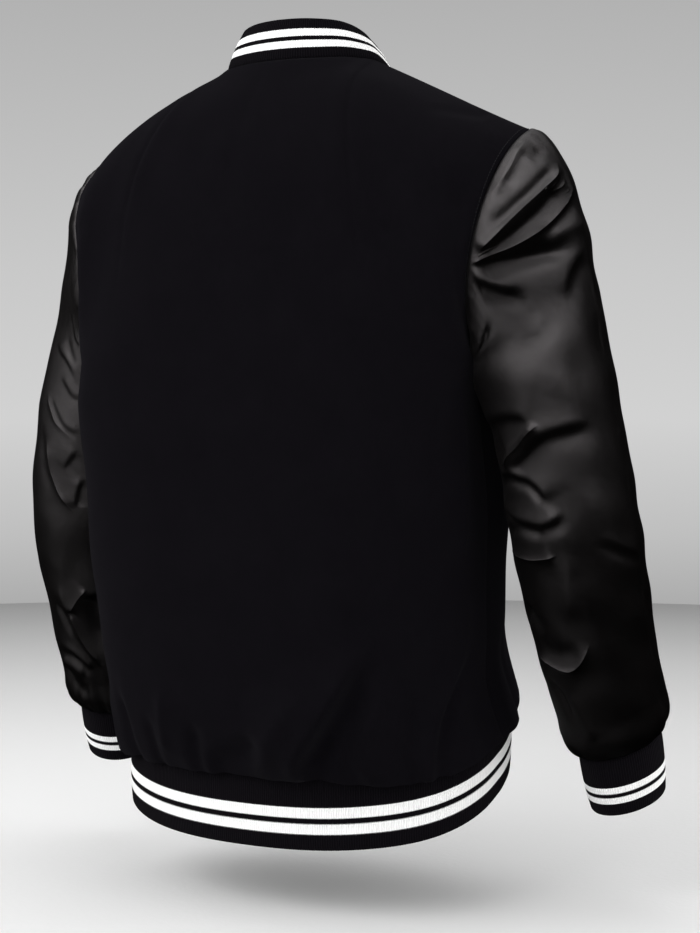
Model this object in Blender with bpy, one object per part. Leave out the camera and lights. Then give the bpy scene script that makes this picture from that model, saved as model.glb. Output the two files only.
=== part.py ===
"""Varsity jacket in the shape it has when worn, with no wearer inside.

Metres, +Z up. The front faces -Y and the wearer's left side is at +X. The origin is the middle of the
neck hole, at the height of the highest points of the shoulders.

Every piece of cloth is a grid of points on the outside of the garment, given a wall inwards. Pieces
that are sewn together share the points of their seam and stand SEAM_GAP apart along it.
"""
import math

import bmesh
import bpy
import numpy as np
from mathutils import Vector

# Cloth
BODY_WALL = 0.0020
SLEEVE_WALL = 0.0016
RIB_WALL = 0.0030
SEAM_GAP = 0.0003

# Heights
ARMPIT_Z = -0.255
HEM_RIB_WIDTH = 0.062
HEM_EDGE = [
    # angle from centre back, positive to the wearer's left, z of the hem band's lower edge
    (-180, -0.600),
    (-150, -0.600),
    (-120, -0.600),
    (-100, -0.615),
    (-80, -0.636),
    (-60, -0.6515),
    (-30, -0.6635),
    (0, -0.667),
    (25, -0.665),
    (50, -0.658),
    (75, -0.648),
    (100, -0.634),
    (125, -0.611),
    (145, -0.602),
    (162, -0.600),
    (180, -0.600),
]

# Body, from the hem seam (share 0) to the armpit (share 1)
BODY_RINGS = [
    # share, half width, half depth, centre y, squareness, arm press
    (0.00, 0.1810, 0.120, -0.012, 2.2, 0.0000),
    (0.04, 0.1800, 0.126, -0.002, 2.3, 0.0000),
    (0.10, 0.1790, 0.130, 0.006, 2.4, 0.0000),
    (0.24, 0.1840, 0.130, 0.014, 2.5, 0.0000),
    (0.40, 0.1890, 0.130, 0.021, 2.5, 0.0020),
    (0.61, 0.1940, 0.130, 0.022, 2.7, 0.0060),
    (0.80, 0.1985, 0.130, 0.022, 2.9, 0.0175),
    (0.90, 0.2017, 0.130, 0.021, 3.0, 0.0242),
    (1.00, 0.2050, 0.130, 0.020, 3.0, 0.0250),
]
ARM_PRESS_REACH = 0.065

# Hem rib below its seam
HEM_RIB_BOTTOM = (0.1820, 0.118, -0.012, 2.2)

# Shoulders and armholes
SHOULDER_TIP = (0.221, 0.012, -0.0625)
SIDE_NECK_ANGLE = 80.0
BACK_RISE = 0.26
FRONT_RISE = 0.17
ARMHOLE_BACK_LEAVE = (0.050, 0.325, 0.095)
ARMHOLE_FRONT_LEAVE = (0.030, -0.220, 0.110)
RELAX_ROWS = 3
RELAX_ROUNDS = 5
TOP_EDGE_BACK = [
    # side (0 centre, 1 armhole), arriving x, y, z
    (0.00, 0.000, -0.230, 0.180),
    (0.18, 0.000, -0.280, 0.130),
    (0.36, 0.000, -0.370, 0.000),
    (0.50, 0.000, -0.375, -0.020),
    (0.75, 0.000, -0.340, -0.010),
    (1.00, 0.020, -0.225, 0.090),
]
TOP_EDGE_FRONT = [
    (0.00, 0.000, 0.040, 0.110),
    (0.18, 0.000, 0.070, 0.100),
    (0.36, 0.000, 0.120, 0.070),
    (0.50, 0.000, 0.150, 0.050),
    (0.75, 0.000, 0.180, 0.030),
    (1.00, -0.020, 0.240, -0.010),
]

# Neck
NECK_RINGS = [
    # angle from centre back, seam z, top edge z
    (0.0, 0.0075, 0.0440),
    (30.0, 0.0080, 0.0435),
    (60.0, 0.0095, 0.0410),
    (90.0, 0.0060, 0.0310),
    (120.0, -0.0190, 0.0110),
    (150.0, -0.0540, -0.0180),
    (180.0, -0.0720, -0.0350),
]
NECK_HALF_WIDTH = 0.0775
NECK_BACK_DEPTH = 0.066
NECK_FRONT_DEPTH = 0.100
COLLAR_SIDE_LEAN = 0.015
COLLAR_BACK_LEAN = 0.011

# Front edges: the left laps over the right
LAP = 0.015
LAP_DROP = 0.0038
LAP_DROP_START = 0.065
LAP_RAMP = 0.035

# Sleeves
SLEEVE_CAP = [
    # angle (0 shoulder, 90 back, 180 underarm, 270 front), reach out, back, up
    (0.0, 0.095, -0.020, -0.005),
    (90.0, 0.065, 0.010, -0.060),
    (135.0, 0.070, 0.010, -0.030),
    (180.0, 0.035, 0.000, -0.030),
    (225.0, 0.070, -0.010, -0.030),
    (270.0, 0.055, -0.020, -0.050),
    (360.0, 0.095, -0.020, -0.005),
]
SLEEVE_RINGS = [
    # share of length, x, y, z, half across, half deep, outer rise, back rise
    (0.00, 0.2290, -0.006, -0.245, 0.0435, 0.0660, 0.042, 0.000),
    (0.16, 0.2400, -0.003, -0.300, 0.0475, 0.0660, 0.025, 0.000),
    (0.29, 0.2475, -0.005, -0.345, 0.0505, 0.0660, 0.012, -0.003),
    (0.42, 0.2530, -0.010, -0.390, 0.0520, 0.0655, 0.006, -0.008),
    (0.59, 0.2580, -0.026, -0.450, 0.0500, 0.0600, 0.005, -0.016),
    (0.73, 0.2610, -0.042, -0.500, 0.0470, 0.0560, 0.006, -0.018),
    (0.87, 0.2660, -0.057, -0.545, 0.0440, 0.0510, 0.006, -0.017),
    (0.96, 0.2685, -0.066, -0.570, 0.0410, 0.0450, 0.006, -0.015),
    (1.00, 0.2695, -0.070, -0.581, 0.0350, 0.0370, 0.006, -0.013),
]
CUFF_BOTTOM = (0.2725, -0.0820, -0.631, 0.0320, 0.0330, 0.005, -0.011)

# Snap caps, down the left front's edge from the neck seam
SNAP_RADIUS = 0.0075
SNAP_HEIGHT = 0.0030
SNAP_SIDES = 10
SNAP_GAP = 0.0004
FIRST_SNAP = 0.024
SNAP_SPACING = 0.078
FRONT_SNAPS = 6

# Largest folds: a ridge where the height is positive, a trough where it is negative. Angles are those
# of the piece's columns in degrees, z its heights. A reach is half the width of the fold.
FOLDS = {
    "sleeve_right": [
        # angle, z, to angle, to z, reach, height
        (118, -0.190, 62, -0.182, 0.013, -0.0050),
        (112, -0.225, 70, -0.222, 0.020, 0.0040),
        (96, -0.246, 118, -0.272, 0.013, -0.0050),
        (150, -0.312, 20, -0.308, 0.016, -0.0065),
        (100, -0.338, 60, -0.330, 0.018, 0.0045),
        (140, -0.366, 55, -0.372, 0.014, -0.0060),
        (130, -0.400, 80, -0.410, 0.018, 0.0035),
        (120, -0.500, 30, -0.510, 0.014, 0.0045),
        (60, -0.120, 20, -0.150, 0.016, -0.0045),
    ],
    "sleeve_left": [
        (60, -0.150, 100, -0.205, 0.015, -0.0050),
        (40, -0.245, 95, -0.300, 0.017, 0.0045),
        (20, -0.290, 80, -0.340, 0.015, -0.0055),
        (150, -0.330, 60, -0.375, 0.016, 0.0040),
        (20, -0.380, 100, -0.420, 0.015, -0.0050),
        (140, -0.470, 60, -0.490, 0.014, 0.0040),
        (110, -0.520, 40, -0.500, 0.014, -0.0040),
    ],
    "back": [
        (-52, -0.480, -20, -0.585, 0.020, -0.0050),
        (-35, -0.545, -10, -0.590, 0.018, 0.0045),
        (-60, -0.500, -46, -0.585, 0.020, 0.0040),
        (12, -0.530, 22, -0.585, 0.018, -0.0040),
        (45, -0.520, 40, -0.580, 0.022, 0.0050),
        (-80, -0.300, -76, -0.520, 0.022, 0.0035),
    ],
    "front_left": [
        (120, -0.440, 140, -0.530, 0.020, -0.0040),
        (150, -0.470, 158, -0.530, 0.018, 0.0040),
    ],
    "front_right": [
        (-125, -0.450, -145, -0.530, 0.020, -0.0040),
        (-105, -0.470, -112, -0.530, 0.020, 0.0040),
    ],
}
SLEEVE_GIRTH = 0.360
BODY_GIRTH = 1.050

# Grids
SHOULDER_COLUMNS = 7
NECK_BACK_COLUMNS = 8
NECK_FRONT_COLUMNS = 4
LOWER_ROWS = 8
UPPER_ROWS = 11
CAP_ROWS = 6
TUBE_ROWS = 17
RIB_ROWS = 2
MIRROR = np.array((-1.0, 1.0, 1.0))

# Finishes: colour, roughness, metallic
WOOL = ("body_wool", (0.012, 0.011, 0.014), 0.85, 0.0)
SATIN = ("sleeve_cloth", (0.020, 0.018, 0.018), 0.38, 0.0)
RIB_KNIT = ("rib_knit", (0.013, 0.012, 0.014), 0.90, 0.0)
SNAP_METAL = ("snap_metal", (0.030, 0.030, 0.032), 0.35, 1.0)


# ---------------------------------------------------------------- curves and tables

def hermite(start, end, leave, arrive, t):
    """Cubic curve between two points with its two end tangents."""
    return ((1 + 2 * t) * (1 - t) ** 2 * start + t * (1 - t) ** 2 * leave
            + t ** 2 * (3 - 2 * t) * end + t ** 2 * (t - 1) * arrive)


def read_table(rows, at):
    """All columns of a table at the values of its first column, on smooth curves."""
    rows = np.array(rows)
    keys, values = rows[:, 0], rows[:, 1:]
    slopes = np.gradient(values, keys, axis=0)
    at = np.atleast_1d(at)
    low = np.clip(np.searchsorted(keys, at, side="right") - 1, 0, len(keys) - 2)
    span = (keys[low + 1] - keys[low])[:, None]
    t = (at - keys[low])[:, None] / span
    return hermite(values[low], values[low + 1], slopes[low] * span, slopes[low + 1] * span, t)


def signed_power(value, power):
    return np.sign(value) * np.abs(value) ** power


def smooth_step(value):
    value = np.clip(value, 0.0, 1.0)
    return value * value * (3 - 2 * value)


# ---------------------------------------------------------------- body

def hem_seam_z(angle):
    """Height of the hem seam, which is lowest at the back and rises more on the wearer's right."""
    return read_table(HEM_EDGE, np.degrees(angle))[:, 0] + HEM_RIB_WIDTH


def ring_xy(half_width, half_depth, centre_y, squareness, press, angle):
    """Points of one body ring. The arms press its sides in."""
    x = half_width * signed_power(np.sin(angle), 2 / squareness)
    y = centre_y + half_depth * signed_power(np.cos(angle), 2 / squareness)
    x *= 1 - press / half_width * np.exp(-(y / ARM_PRESS_REACH) ** 2)
    return x, y


def front_angles():
    """Column angles of the left front, from the side seam to centre front."""
    return np.linspace(math.pi / 2, math.pi, SHOULDER_COLUMNS + NECK_FRONT_COLUMNS + 1)


def back_angles():
    columns = 2 * SHOULDER_COLUMNS + NECK_BACK_COLUMNS
    return np.linspace(-math.pi / 2, math.pi / 2, columns + 1)


def lower_rows(angles):
    """Rows of a body panel from the hem seam to the armpit."""
    seam_z = hem_seam_z(angles)
    rows = []
    for share in np.linspace(0, 1, LOWER_ROWS + 1):
        x, y = ring_xy(*read_table(BODY_RINGS, share)[0], angles)
        rows.append(np.stack([x, y, seam_z + (ARMPIT_Z - seam_z) * share], axis=-1))
    return np.array(rows)


def neck_seam(angle):
    """Points of the neck seam, angle 0 at centre back and positive to the wearer's left."""
    depth = np.where(np.cos(angle) > 0, NECK_BACK_DEPTH, NECK_FRONT_DEPTH)
    z = read_table(NECK_RINGS, np.degrees(np.abs(angle)).clip(0, 180))[:, 0]
    return np.stack([NECK_HALF_WIDTH * np.sin(angle), depth * np.cos(angle), z], axis=-1)


def shoulder_seam():
    """Points from the left shoulder tip to the neck, one for each column edge."""
    share = np.linspace(0, 1, SHOULDER_COLUMNS + 1)[:, None]
    neck = neck_seam(np.array([math.radians(SIDE_NECK_ANGLE)]))[0]
    return np.array(SHOULDER_TIP) * (1 - share) + neck * share


def upper_rows(lower, top, side, panel_rise, armhole_leave, table):
    """Rows of a body panel from the armpit to its top edge."""
    mirror = np.where(side[:, None] < 0, MIRROR, 1.0)
    arrive = read_table(table, np.abs(side)) * mirror
    rise = lower[-1] - lower[-2]
    rise *= panel_rise / np.linalg.norm(rise, axis=1)[:, None]
    turn = smooth_step((np.abs(side) - 0.5) / 0.5)[:, None]
    leave = rise + (np.array(armhole_leave) * mirror - rise) * turn
    shares = np.linspace(0, 1, UPPER_ROWS + 1)[1:]
    return np.array([hermite(lower[-1], top, leave, arrive, share) for share in shares])


def relax(grid):
    """Evens out the inside of the rows above the armpit, which run into three different edges."""
    grid = grid.copy()
    above = (np.arange(len(grid)) - LOWER_ROWS) / RELAX_ROWS
    weight = 0.5 * np.clip(above, 0, 1)[1:-1, None, None]
    for _ in range(RELAX_ROUNDS):
        around = grid[:-2, 1:-1] + grid[2:, 1:-1] + grid[1:-1, :-2] + grid[1:-1, 2:]
        grid[1:-1, 1:-1] += weight * (around / 4 - grid[1:-1, 1:-1])
    return grid


def back_grid():
    lower = lower_rows(back_angles())
    left_shoulder = shoulder_seam()
    right_shoulder = left_shoulder * MIRROR
    neck_angle = math.radians(SIDE_NECK_ANGLE)
    neck = neck_seam(np.linspace(-neck_angle, neck_angle, NECK_BACK_COLUMNS + 1))
    top = np.concatenate([right_shoulder, neck[1:-1], left_shoulder[::-1]])
    side = back_angles() / (math.pi / 2)
    upper = upper_rows(lower, top, side, BACK_RISE, ARMHOLE_BACK_LEAVE, TOP_EDGE_BACK)
    return relax(np.concatenate([lower, upper]))


def front_grid(hem_side):
    """A front panel as on the wearer's left, from the side seam past centre front to the lap's edge."""
    lower = lower_rows(front_angles())
    lower[..., 2] = lower_rows(front_angles() * hem_side)[..., 2]
    neck = neck_seam(np.linspace(math.radians(SIDE_NECK_ANGLE), math.pi, NECK_FRONT_COLUMNS + 1))
    top = np.concatenate([shoulder_seam(), neck[1:]])
    side = np.linspace(1, 0, lower.shape[1])
    upper = upper_rows(lower, top, side, FRONT_RISE, ARMHOLE_FRONT_LEAVE, TOP_EDGE_FRONT)
    half = np.concatenate([lower, upper])
    half = relax(np.concatenate([half, half[:, -2:-1] * MIRROR], axis=1))[:, :-1]
    return add_lap(half)


def add_lap(half):
    """Carries a strip that ends at centre front on by LAP, as the mirror of its last stretch."""
    centre, beside = half[:, -1:], half[:, -2:-1]
    lap = centre + (beside - centre) * (LAP / beside[..., :1])
    return np.concatenate([half, lap * MIRROR], axis=1)


def under_lap(grid):
    """Mirrors a left piece to the right and lays its front edge back, under the left one's."""
    grid = (grid * MIRROR)[:, ::-1]
    grid[..., 1] += LAP_DROP * smooth_step((grid[..., 0] + LAP_DROP_START) / LAP_RAMP)
    return grid


# ---------------------------------------------------------------- folds

def border_fade(count, closed):
    """Weights along one side of a grid: nothing on its border, half on the line beside it."""
    if closed:
        return np.ones(count)
    steps = np.arange(count)
    return np.clip(np.minimum(steps, steps[::-1]) / 2, 0.0, 1.0)


def add_folds(grid, normals, angles, folds, girth, closed):
    """Grid moved out by the folds. Its columns stand at the given angles, in degrees."""
    metres_per_degree = girth / 360
    around = np.broadcast_to(angles * metres_per_degree, grid.shape[:2])
    height = np.zeros(grid.shape[:2])
    for angle, z, to_angle, to_z, reach, rise in folds:
        start = np.array((angle * metres_per_degree, z))
        run = np.array((to_angle * metres_per_degree, to_z)) - start
        offset = np.stack([around, grid[..., 2]], axis=-1) - start
        share = np.clip(offset @ run / (run @ run), 0.0, 1.0)
        distance = np.linalg.norm(offset - share[..., None] * run, axis=-1)
        height += rise * np.exp(-(distance / reach) ** 2)
    fade = border_fade(grid.shape[0], False)[:, None] * border_fade(grid.shape[1], closed)
    return grid + normals * (height * fade)[..., None]


# ---------------------------------------------------------------- ribs

def hem_rib_grid(right_front, back, left_front):
    """The hem band. Its right end lies back under its left end."""
    seam = np.concatenate([right_front[0], back[0][1:-1], left_front[0]])
    half_width, half_depth, centre_y, squareness = HEM_RIB_BOTTOM

    def bottom_run(angles):
        x, y = ring_xy(half_width, half_depth, centre_y, squareness, 0.0, angles)
        return np.stack([x, y, hem_seam_z(angles) - HEM_RIB_WIDTH], axis=-1)[None]

    left = add_lap(bottom_run(front_angles()))
    right = bottom_run(-front_angles()) * MIRROR
    right = under_lap(add_lap(right))
    bottom = np.concatenate([right[0], bottom_run(back_angles())[0, 1:-1], left[0]])
    shares = np.linspace(0, 1, RIB_ROWS + 1)[:, None, None]
    return bottom + (seam - bottom) * shares


def collar_grid(right_front, back_panel, left_front):
    """The collar, from its right end at centre front round to its left end."""
    right = right_front[-1, 1:NECK_FRONT_COLUMNS + 2]
    middle = back_panel[-1, SHOULDER_COLUMNS + 1:SHOULDER_COLUMNS + NECK_BACK_COLUMNS]
    left = left_front[-1, SHOULDER_COLUMNS:-1]
    seam = np.concatenate([right, middle, left])
    neck_angle = math.radians(SIDE_NECK_ANGLE)
    front = np.linspace(neck_angle, math.pi, NECK_FRONT_COLUMNS + 1)
    back = np.linspace(-neck_angle, neck_angle, NECK_BACK_COLUMNS + 1)
    angles = np.concatenate([-front[::-1], back[1:-1], front])
    top = neck_seam(angles)
    top[:, 0] -= COLLAR_SIDE_LEAN * np.sin(angles)
    top[:, 1] -= COLLAR_BACK_LEAN * np.cos(angles).clip(0)
    top[:, 2] = read_table(NECK_RINGS, np.degrees(np.abs(angles)))[:, 1]
    shares = np.linspace(0, 1, RIB_ROWS + 1)[:, None, None]
    return seam + (top - seam) * shares


# ---------------------------------------------------------------- sleeves

def sleeve_ring(ring, angle):
    """Points of one ring of the left sleeve: angle 0 outside, 90 degrees at the back."""
    x, y, z, half_across, half_deep, outer_rise, back_rise = ring
    across, deep = np.cos(angle), np.sin(angle)
    return np.stack([
        x + half_across * across,
        y + half_deep * deep,
        z + outer_rise * across + back_rise * deep,
    ], axis=-1)


def left_sleeve_grid(back, left_front):
    """The left sleeve, wrist first, its columns running from the shoulder round by the front."""
    back_edge = back[LOWER_ROWS:, -1]
    front_edge = left_front[LOWER_ROWS:, 0]
    armhole = np.concatenate([back_edge[::-1], front_edge[1:]])
    angles = np.linspace(0, 2 * math.pi, 2 * UPPER_ROWS + 1)
    bicep = sleeve_ring(read_table(SLEEVE_RINGS, 0.0)[0], angles)
    below = sleeve_ring(read_table(SLEEVE_RINGS, 0.05)[0], angles)
    leave = read_table(SLEEVE_CAP, np.degrees(angles))
    length = np.linalg.norm(bicep - armhole, axis=1)[:, None]
    along = below - bicep
    arrive = along / np.linalg.norm(along, axis=1)[:, None] * length
    cap_shares = np.linspace(0, 1, CAP_ROWS + 1)[:-1]
    cap = [hermite(armhole, bicep, leave, arrive, share) for share in cap_shares]
    tube_shares = np.linspace(0, 1, TUBE_ROWS + 1)
    tube = [sleeve_ring(ring, angles) for ring in read_table(SLEEVE_RINGS, tube_shares)]
    return np.array(cap + tube)[::-1, ::-1]


def left_cuff_grid(sleeve):
    angles = np.linspace(0, 2 * math.pi, 2 * UPPER_ROWS + 1)
    bottom = sleeve_ring(CUFF_BOTTOM, angles)[::-1]
    shares = np.linspace(0, 1, RIB_ROWS + 1)[:, None, None]
    return bottom + (sleeve[0] - bottom) * shares


# ---------------------------------------------------------------- solids

def grid_quads(grid, closed):
    """Index rows of a grid's quads. Rows run up and columns run clockwise, seen from above."""
    rows, columns = grid.shape[:2]
    index = np.arange(rows * columns).reshape(rows, columns)
    if closed:
        index[:, -1] = index[:, 0]
    quads = np.stack([index[:-1, :-1], index[:-1, 1:], index[1:, 1:], index[1:, :-1]], axis=-1)
    return quads.reshape(-1, 4)


def point_keys(grid):
    return [tuple(key) for key in np.round(grid.reshape(-1, 3), 6)]


def unit(vectors):
    return vectors / np.linalg.norm(vectors, axis=-1, keepdims=True)


def seam_normals(panels):
    """Outward normals of every grid point. On a seam of two cloths they halve the angle between them."""
    totals = {}
    for grid, closed, cloth in panels:
        points = grid.reshape(-1, 3)
        keys = point_keys(grid)
        quads = grid_quads(grid, closed)
        corners = points[quads]
        normals = np.cross(corners[:, 3] - corners[:, 1], corners[:, 2] - corners[:, 0])
        for quad, normal in zip(quads, normals):
            for vertex in quad:
                cloths = totals.setdefault(keys[vertex], {})
                cloths[cloth] = cloths.get(cloth, 0.0) + normal
    shared = {key: sum(unit(total) for total in cloths.values()) for key, cloths in totals.items()}
    return [unit(np.array([shared[key] for key in point_keys(grid)])).reshape(grid.shape)
            for grid, _, _ in panels]


def open_seams(grid, normals, closed):
    """Grid with its borders moved in by half a seam gap, square to the seam."""
    moved = grid.copy()
    borders = [
        (grid[0], grid[1], normals[0], 0, slice(None)),
        (grid[-1], grid[-2], normals[-1], -1, slice(None)),
    ]
    if not closed:
        borders.append((grid[:, 0], grid[:, 1], normals[:, 0], slice(None), 0))
        borders.append((grid[:, -1], grid[:, -2], normals[:, -1], slice(None), -1))
    for edge, inner, normal, row, column in borders:
        tangent = np.gradient(edge, axis=0)
        inward = unit(np.cross(tangent, normal))
        sign = np.sign(np.sum(inward * (inner - edge), axis=1))[:, None]
        moved[row, column] += inward * sign * SEAM_GAP / 2
    return moved


def add_material(mesh, finish):
    name, colour, roughness, metallic = finish
    material = bpy.data.materials.get(name)
    if material is None:
        material = bpy.data.materials.new(name)
        material.use_nodes = True
        shader = material.node_tree.nodes["Principled BSDF"]
        shader.inputs["Base Color"].default_value = (*colour, 1.0)
        shader.inputs["Roughness"].default_value = roughness
        shader.inputs["Metallic"].default_value = metallic
        material.diffuse_color = (*colour, 1.0)
    mesh.materials.append(material)


def add_wall(name, grid, normals, wall, finish, closed=False):
    """A closed solid: the grid, the same grid moved inwards, and a rim along every border."""
    outer = open_seams(grid, normals, closed)
    inner = outer - normals * wall
    if closed:
        outer[:, -1], inner[:, -1] = outer[:, 0], inner[:, 0]
        outer, inner = outer[:, :-1], inner[:, :-1]
    rows, columns = outer.shape[:2]
    bm = bmesh.new()
    skins = [[[bm.verts.new(point) for point in row] for row in skin] for skin in (outer, inner)]
    last = columns if closed else columns - 1
    for row in range(rows - 1):
        for column in range(last):
            right = (column + 1) % columns
            corners = [(row, column), (row, right), (row + 1, right), (row + 1, column)]
            bm.faces.new([skins[0][r][c] for r, c in corners])
            bm.faces.new([skins[1][r][c] for r, c in reversed(corners)])
    border = [(0, c) for c in range(columns)]
    runs = [border + border[:1], [(rows - 1, c) for c in range(columns)] + [(rows - 1, 0)]] if closed else [
        border + [(r, columns - 1) for r in range(1, rows)]
        + [(rows - 1, c) for c in range(columns - 2, -1, -1)] + [(r, 0) for r in range(rows - 2, -1, -1)]
    ]
    for run in runs:
        for (r0, c0), (r1, c1) in zip(run, run[1:]):
            bm.faces.new([skins[0][r0][c0], skins[0][r1][c1], skins[1][r1][c1], skins[1][r0][c0]])
    bmesh.ops.recalc_face_normals(bm, faces=bm.faces)
    bmesh.ops.triangulate(bm, faces=bm.faces)
    mesh = bpy.data.meshes.new(name)
    bm.to_mesh(mesh)
    bm.free()
    mesh.shade_smooth()
    mesh.set_sharp_from_angle(angle=math.radians(50))
    add_material(mesh, finish)
    bpy.context.scene.collection.objects.link(bpy.data.objects.new(name, mesh))


# ---------------------------------------------------------------- snaps

def snap_mesh():
    """A domed cap on its base, turned about Z."""
    profile = [
        # radius, height, as shares of the cap's own
        (0.0, 0.0),
        (1.0, 0.0),
        (1.0, 0.35),
        (0.72, 0.82),
        (0.0, 1.0),
    ]
    bm = bmesh.new()
    points = [bm.verts.new((radius * SNAP_RADIUS, 0.0, height * SNAP_HEIGHT)) for radius, height in profile]
    edges = [bm.edges.new(pair) for pair in zip(points, points[1:])]
    bmesh.ops.spin(bm, geom=points + edges, cent=(0, 0, 0), axis=(0, 0, 1), dvec=(0, 0, 0),
                   angle=2 * math.pi, steps=SNAP_SIDES, use_merge=True)
    bmesh.ops.remove_doubles(bm, verts=bm.verts, dist=1e-5)
    bmesh.ops.recalc_face_normals(bm, faces=bm.faces)
    mesh = bpy.data.meshes.new("snap")
    bm.to_mesh(mesh)
    bm.free()
    mesh.shade_smooth()
    mesh.set_sharp_from_angle(angle=math.radians(50))
    add_material(mesh, SNAP_METAL)
    return mesh


def add_snaps(left_front, front_normals, hem_rib, rib_normals):
    """Caps down the line of centre front, each flat on the cloth, and one on the hem band."""
    line, directions = left_front[::-1, -2], front_normals[::-1, -2]
    steps = np.linalg.norm(np.diff(line, axis=0), axis=1)
    lengths = np.concatenate([[0.0], np.cumsum(steps)])
    places = []
    for index in range(FRONT_SNAPS):
        length = FIRST_SNAP + index * SNAP_SPACING
        places.append([
            np.array([np.interp(length, lengths, values[:, axis]) for axis in range(3)])
            for values in (line, directions)
        ])
    places.append([hem_rib[RIB_ROWS // 2, -2], rib_normals[RIB_ROWS // 2, -2]])
    mesh = snap_mesh()
    for number, (point, direction) in enumerate(places, start=1):
        snap = bpy.data.objects.new(f"snap_{number}", mesh)
        bpy.context.scene.collection.objects.link(snap)
        snap.location = point + unit(direction) * SNAP_GAP
        snap.rotation_euler = Vector(direction).to_track_quat("Z", "Y").to_euler()


# ---------------------------------------------------------------- build

def main():
    for obj in list(bpy.data.objects):
        bpy.data.objects.remove(obj)
    back = back_grid()
    left_front = front_grid(1)
    right_front = under_lap(front_grid(-1))
    hem_rib = hem_rib_grid(right_front, back, left_front)
    collar = collar_grid(right_front, back, left_front)
    left_sleeve = left_sleeve_grid(back, left_front)
    right_sleeve = (left_sleeve * MIRROR)[:, ::-1]
    left_cuff = left_cuff_grid(left_sleeve)
    right_cuff = (left_cuff * MIRROR)[:, ::-1]
    front_columns = np.degrees(np.append(front_angles(), math.pi))
    sleeve_columns = np.linspace(0, 360, 2 * UPPER_ROWS + 1)
    columns = {
        "back": np.degrees(back_angles()),
        "front_left": front_columns,
        "front_right": -front_columns[::-1],
        "sleeve_left": sleeve_columns[::-1],
        "sleeve_right": sleeve_columns,
    }
    pieces = [
        ("back", back, BODY_WALL, WOOL, False),
        ("front_left", left_front, BODY_WALL, WOOL, False),
        ("front_right", right_front, BODY_WALL, WOOL, False),
        ("sleeve_left", left_sleeve, SLEEVE_WALL, SATIN, True),
        ("sleeve_right", right_sleeve, SLEEVE_WALL, SATIN, True),
        ("cuff_left", left_cuff, RIB_WALL, RIB_KNIT, True),
        ("cuff_right", right_cuff, RIB_WALL, RIB_KNIT, True),
        ("collar", collar, RIB_WALL, RIB_KNIT, False),
        ("hem_rib", hem_rib, RIB_WALL, RIB_KNIT, False),
    ]
    normals = dict(zip([piece[0] for piece in pieces],
                       seam_normals([(grid, closed, finish) for _, grid, _, finish, closed in pieces])))
    add_snaps(left_front, normals["front_left"], hem_rib, normals["hem_rib"])
    for name, grid, wall, finish, closed in pieces:
        if name in FOLDS:
            girth = SLEEVE_GIRTH if closed else BODY_GIRTH
            grid = add_folds(grid, normals[name], columns[name], FOLDS[name], girth, closed)
        add_wall(name, grid, normals[name], wall, finish, closed)


main()
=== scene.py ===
"""Looks of the varsity jacket: fine shells on the forms of its pieces, with creases, knit, stripes and
stitching, on a pale floor under soft lights.

Metres, +Z up. The front faces -Y and the wearer's left side is at +X.
"""
import math

import bmesh
import bpy
import numpy as np
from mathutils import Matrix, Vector


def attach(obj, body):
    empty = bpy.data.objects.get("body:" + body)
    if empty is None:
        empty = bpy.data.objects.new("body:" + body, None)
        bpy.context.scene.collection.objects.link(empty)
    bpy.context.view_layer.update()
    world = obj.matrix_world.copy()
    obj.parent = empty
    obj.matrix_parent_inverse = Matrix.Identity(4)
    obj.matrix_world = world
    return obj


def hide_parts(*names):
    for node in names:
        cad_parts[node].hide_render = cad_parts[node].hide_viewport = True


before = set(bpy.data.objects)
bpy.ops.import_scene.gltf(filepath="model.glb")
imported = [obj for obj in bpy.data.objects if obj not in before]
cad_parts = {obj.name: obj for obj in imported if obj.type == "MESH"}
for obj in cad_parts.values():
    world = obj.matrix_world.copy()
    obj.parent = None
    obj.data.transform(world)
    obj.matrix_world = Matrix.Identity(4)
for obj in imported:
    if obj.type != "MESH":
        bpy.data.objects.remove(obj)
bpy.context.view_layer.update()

# ---------------- the garment's own sizes

BODY_WALL = 0.0020
SLEEVE_WALL = 0.0014
RIB_WALL = 0.0030
SEAM_GAP = 0.0003

ARMPIT_Z = -0.255
HEM_RIB_WIDTH = 0.062
HEM_EDGE = [
    # angle from centre back, positive to the wearer's left, z of the hem band's lower edge
    (-180, -0.600),
    (-150, -0.600),
    (-120, -0.600),
    (-100, -0.615),
    (-80, -0.636),
    (-60, -0.6515),
    (-30, -0.6635),
    (0, -0.667),
    (25, -0.665),
    (50, -0.658),
    (75, -0.648),
    (100, -0.634),
    (125, -0.611),
    (145, -0.602),
    (162, -0.600),
    (180, -0.600),
]
BODY_RINGS = [
    # share from hem seam to armpit, half width, half depth, centre y, squareness, arm press
    (0.00, 0.1810, 0.120, -0.012, 2.2, 0.0000),
    (0.04, 0.1800, 0.126, -0.002, 2.3, 0.0000),
    (0.10, 0.1790, 0.130, 0.006, 2.4, 0.0000),
    (0.24, 0.1840, 0.130, 0.014, 2.5, 0.0000),
    (0.40, 0.1890, 0.130, 0.021, 2.5, 0.0020),
    (0.61, 0.1940, 0.130, 0.022, 2.7, 0.0060),
    (0.80, 0.1985, 0.130, 0.022, 2.9, 0.0175),
    (0.90, 0.2017, 0.130, 0.021, 3.0, 0.0242),
    (1.00, 0.2050, 0.130, 0.020, 3.0, 0.0250),
]
ARM_PRESS_REACH = 0.065
# half width, half depth, centre y and squareness of the hem band's lower edge
HEM_RIB_BOTTOM = (0.1820, 0.1180, -0.0120, 2.2)

SHOULDER_TIP = (0.221, 0.012, -0.0625)
SIDE_NECK_ANGLE = 80.0
# How far the panels run straight on above the armpit rows, and how they leave them at the armhole
BACK_RISE = 0.26
FRONT_RISE = 0.17
ARMHOLE_BACK_LEAVE = (0.050, 0.325, 0.095)
ARMHOLE_FRONT_LEAVE = (0.030, -0.220, 0.110)
# Share of a panel's half width beyond which it turns to its armhole
ARMHOLE_TURN = 0.5
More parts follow.
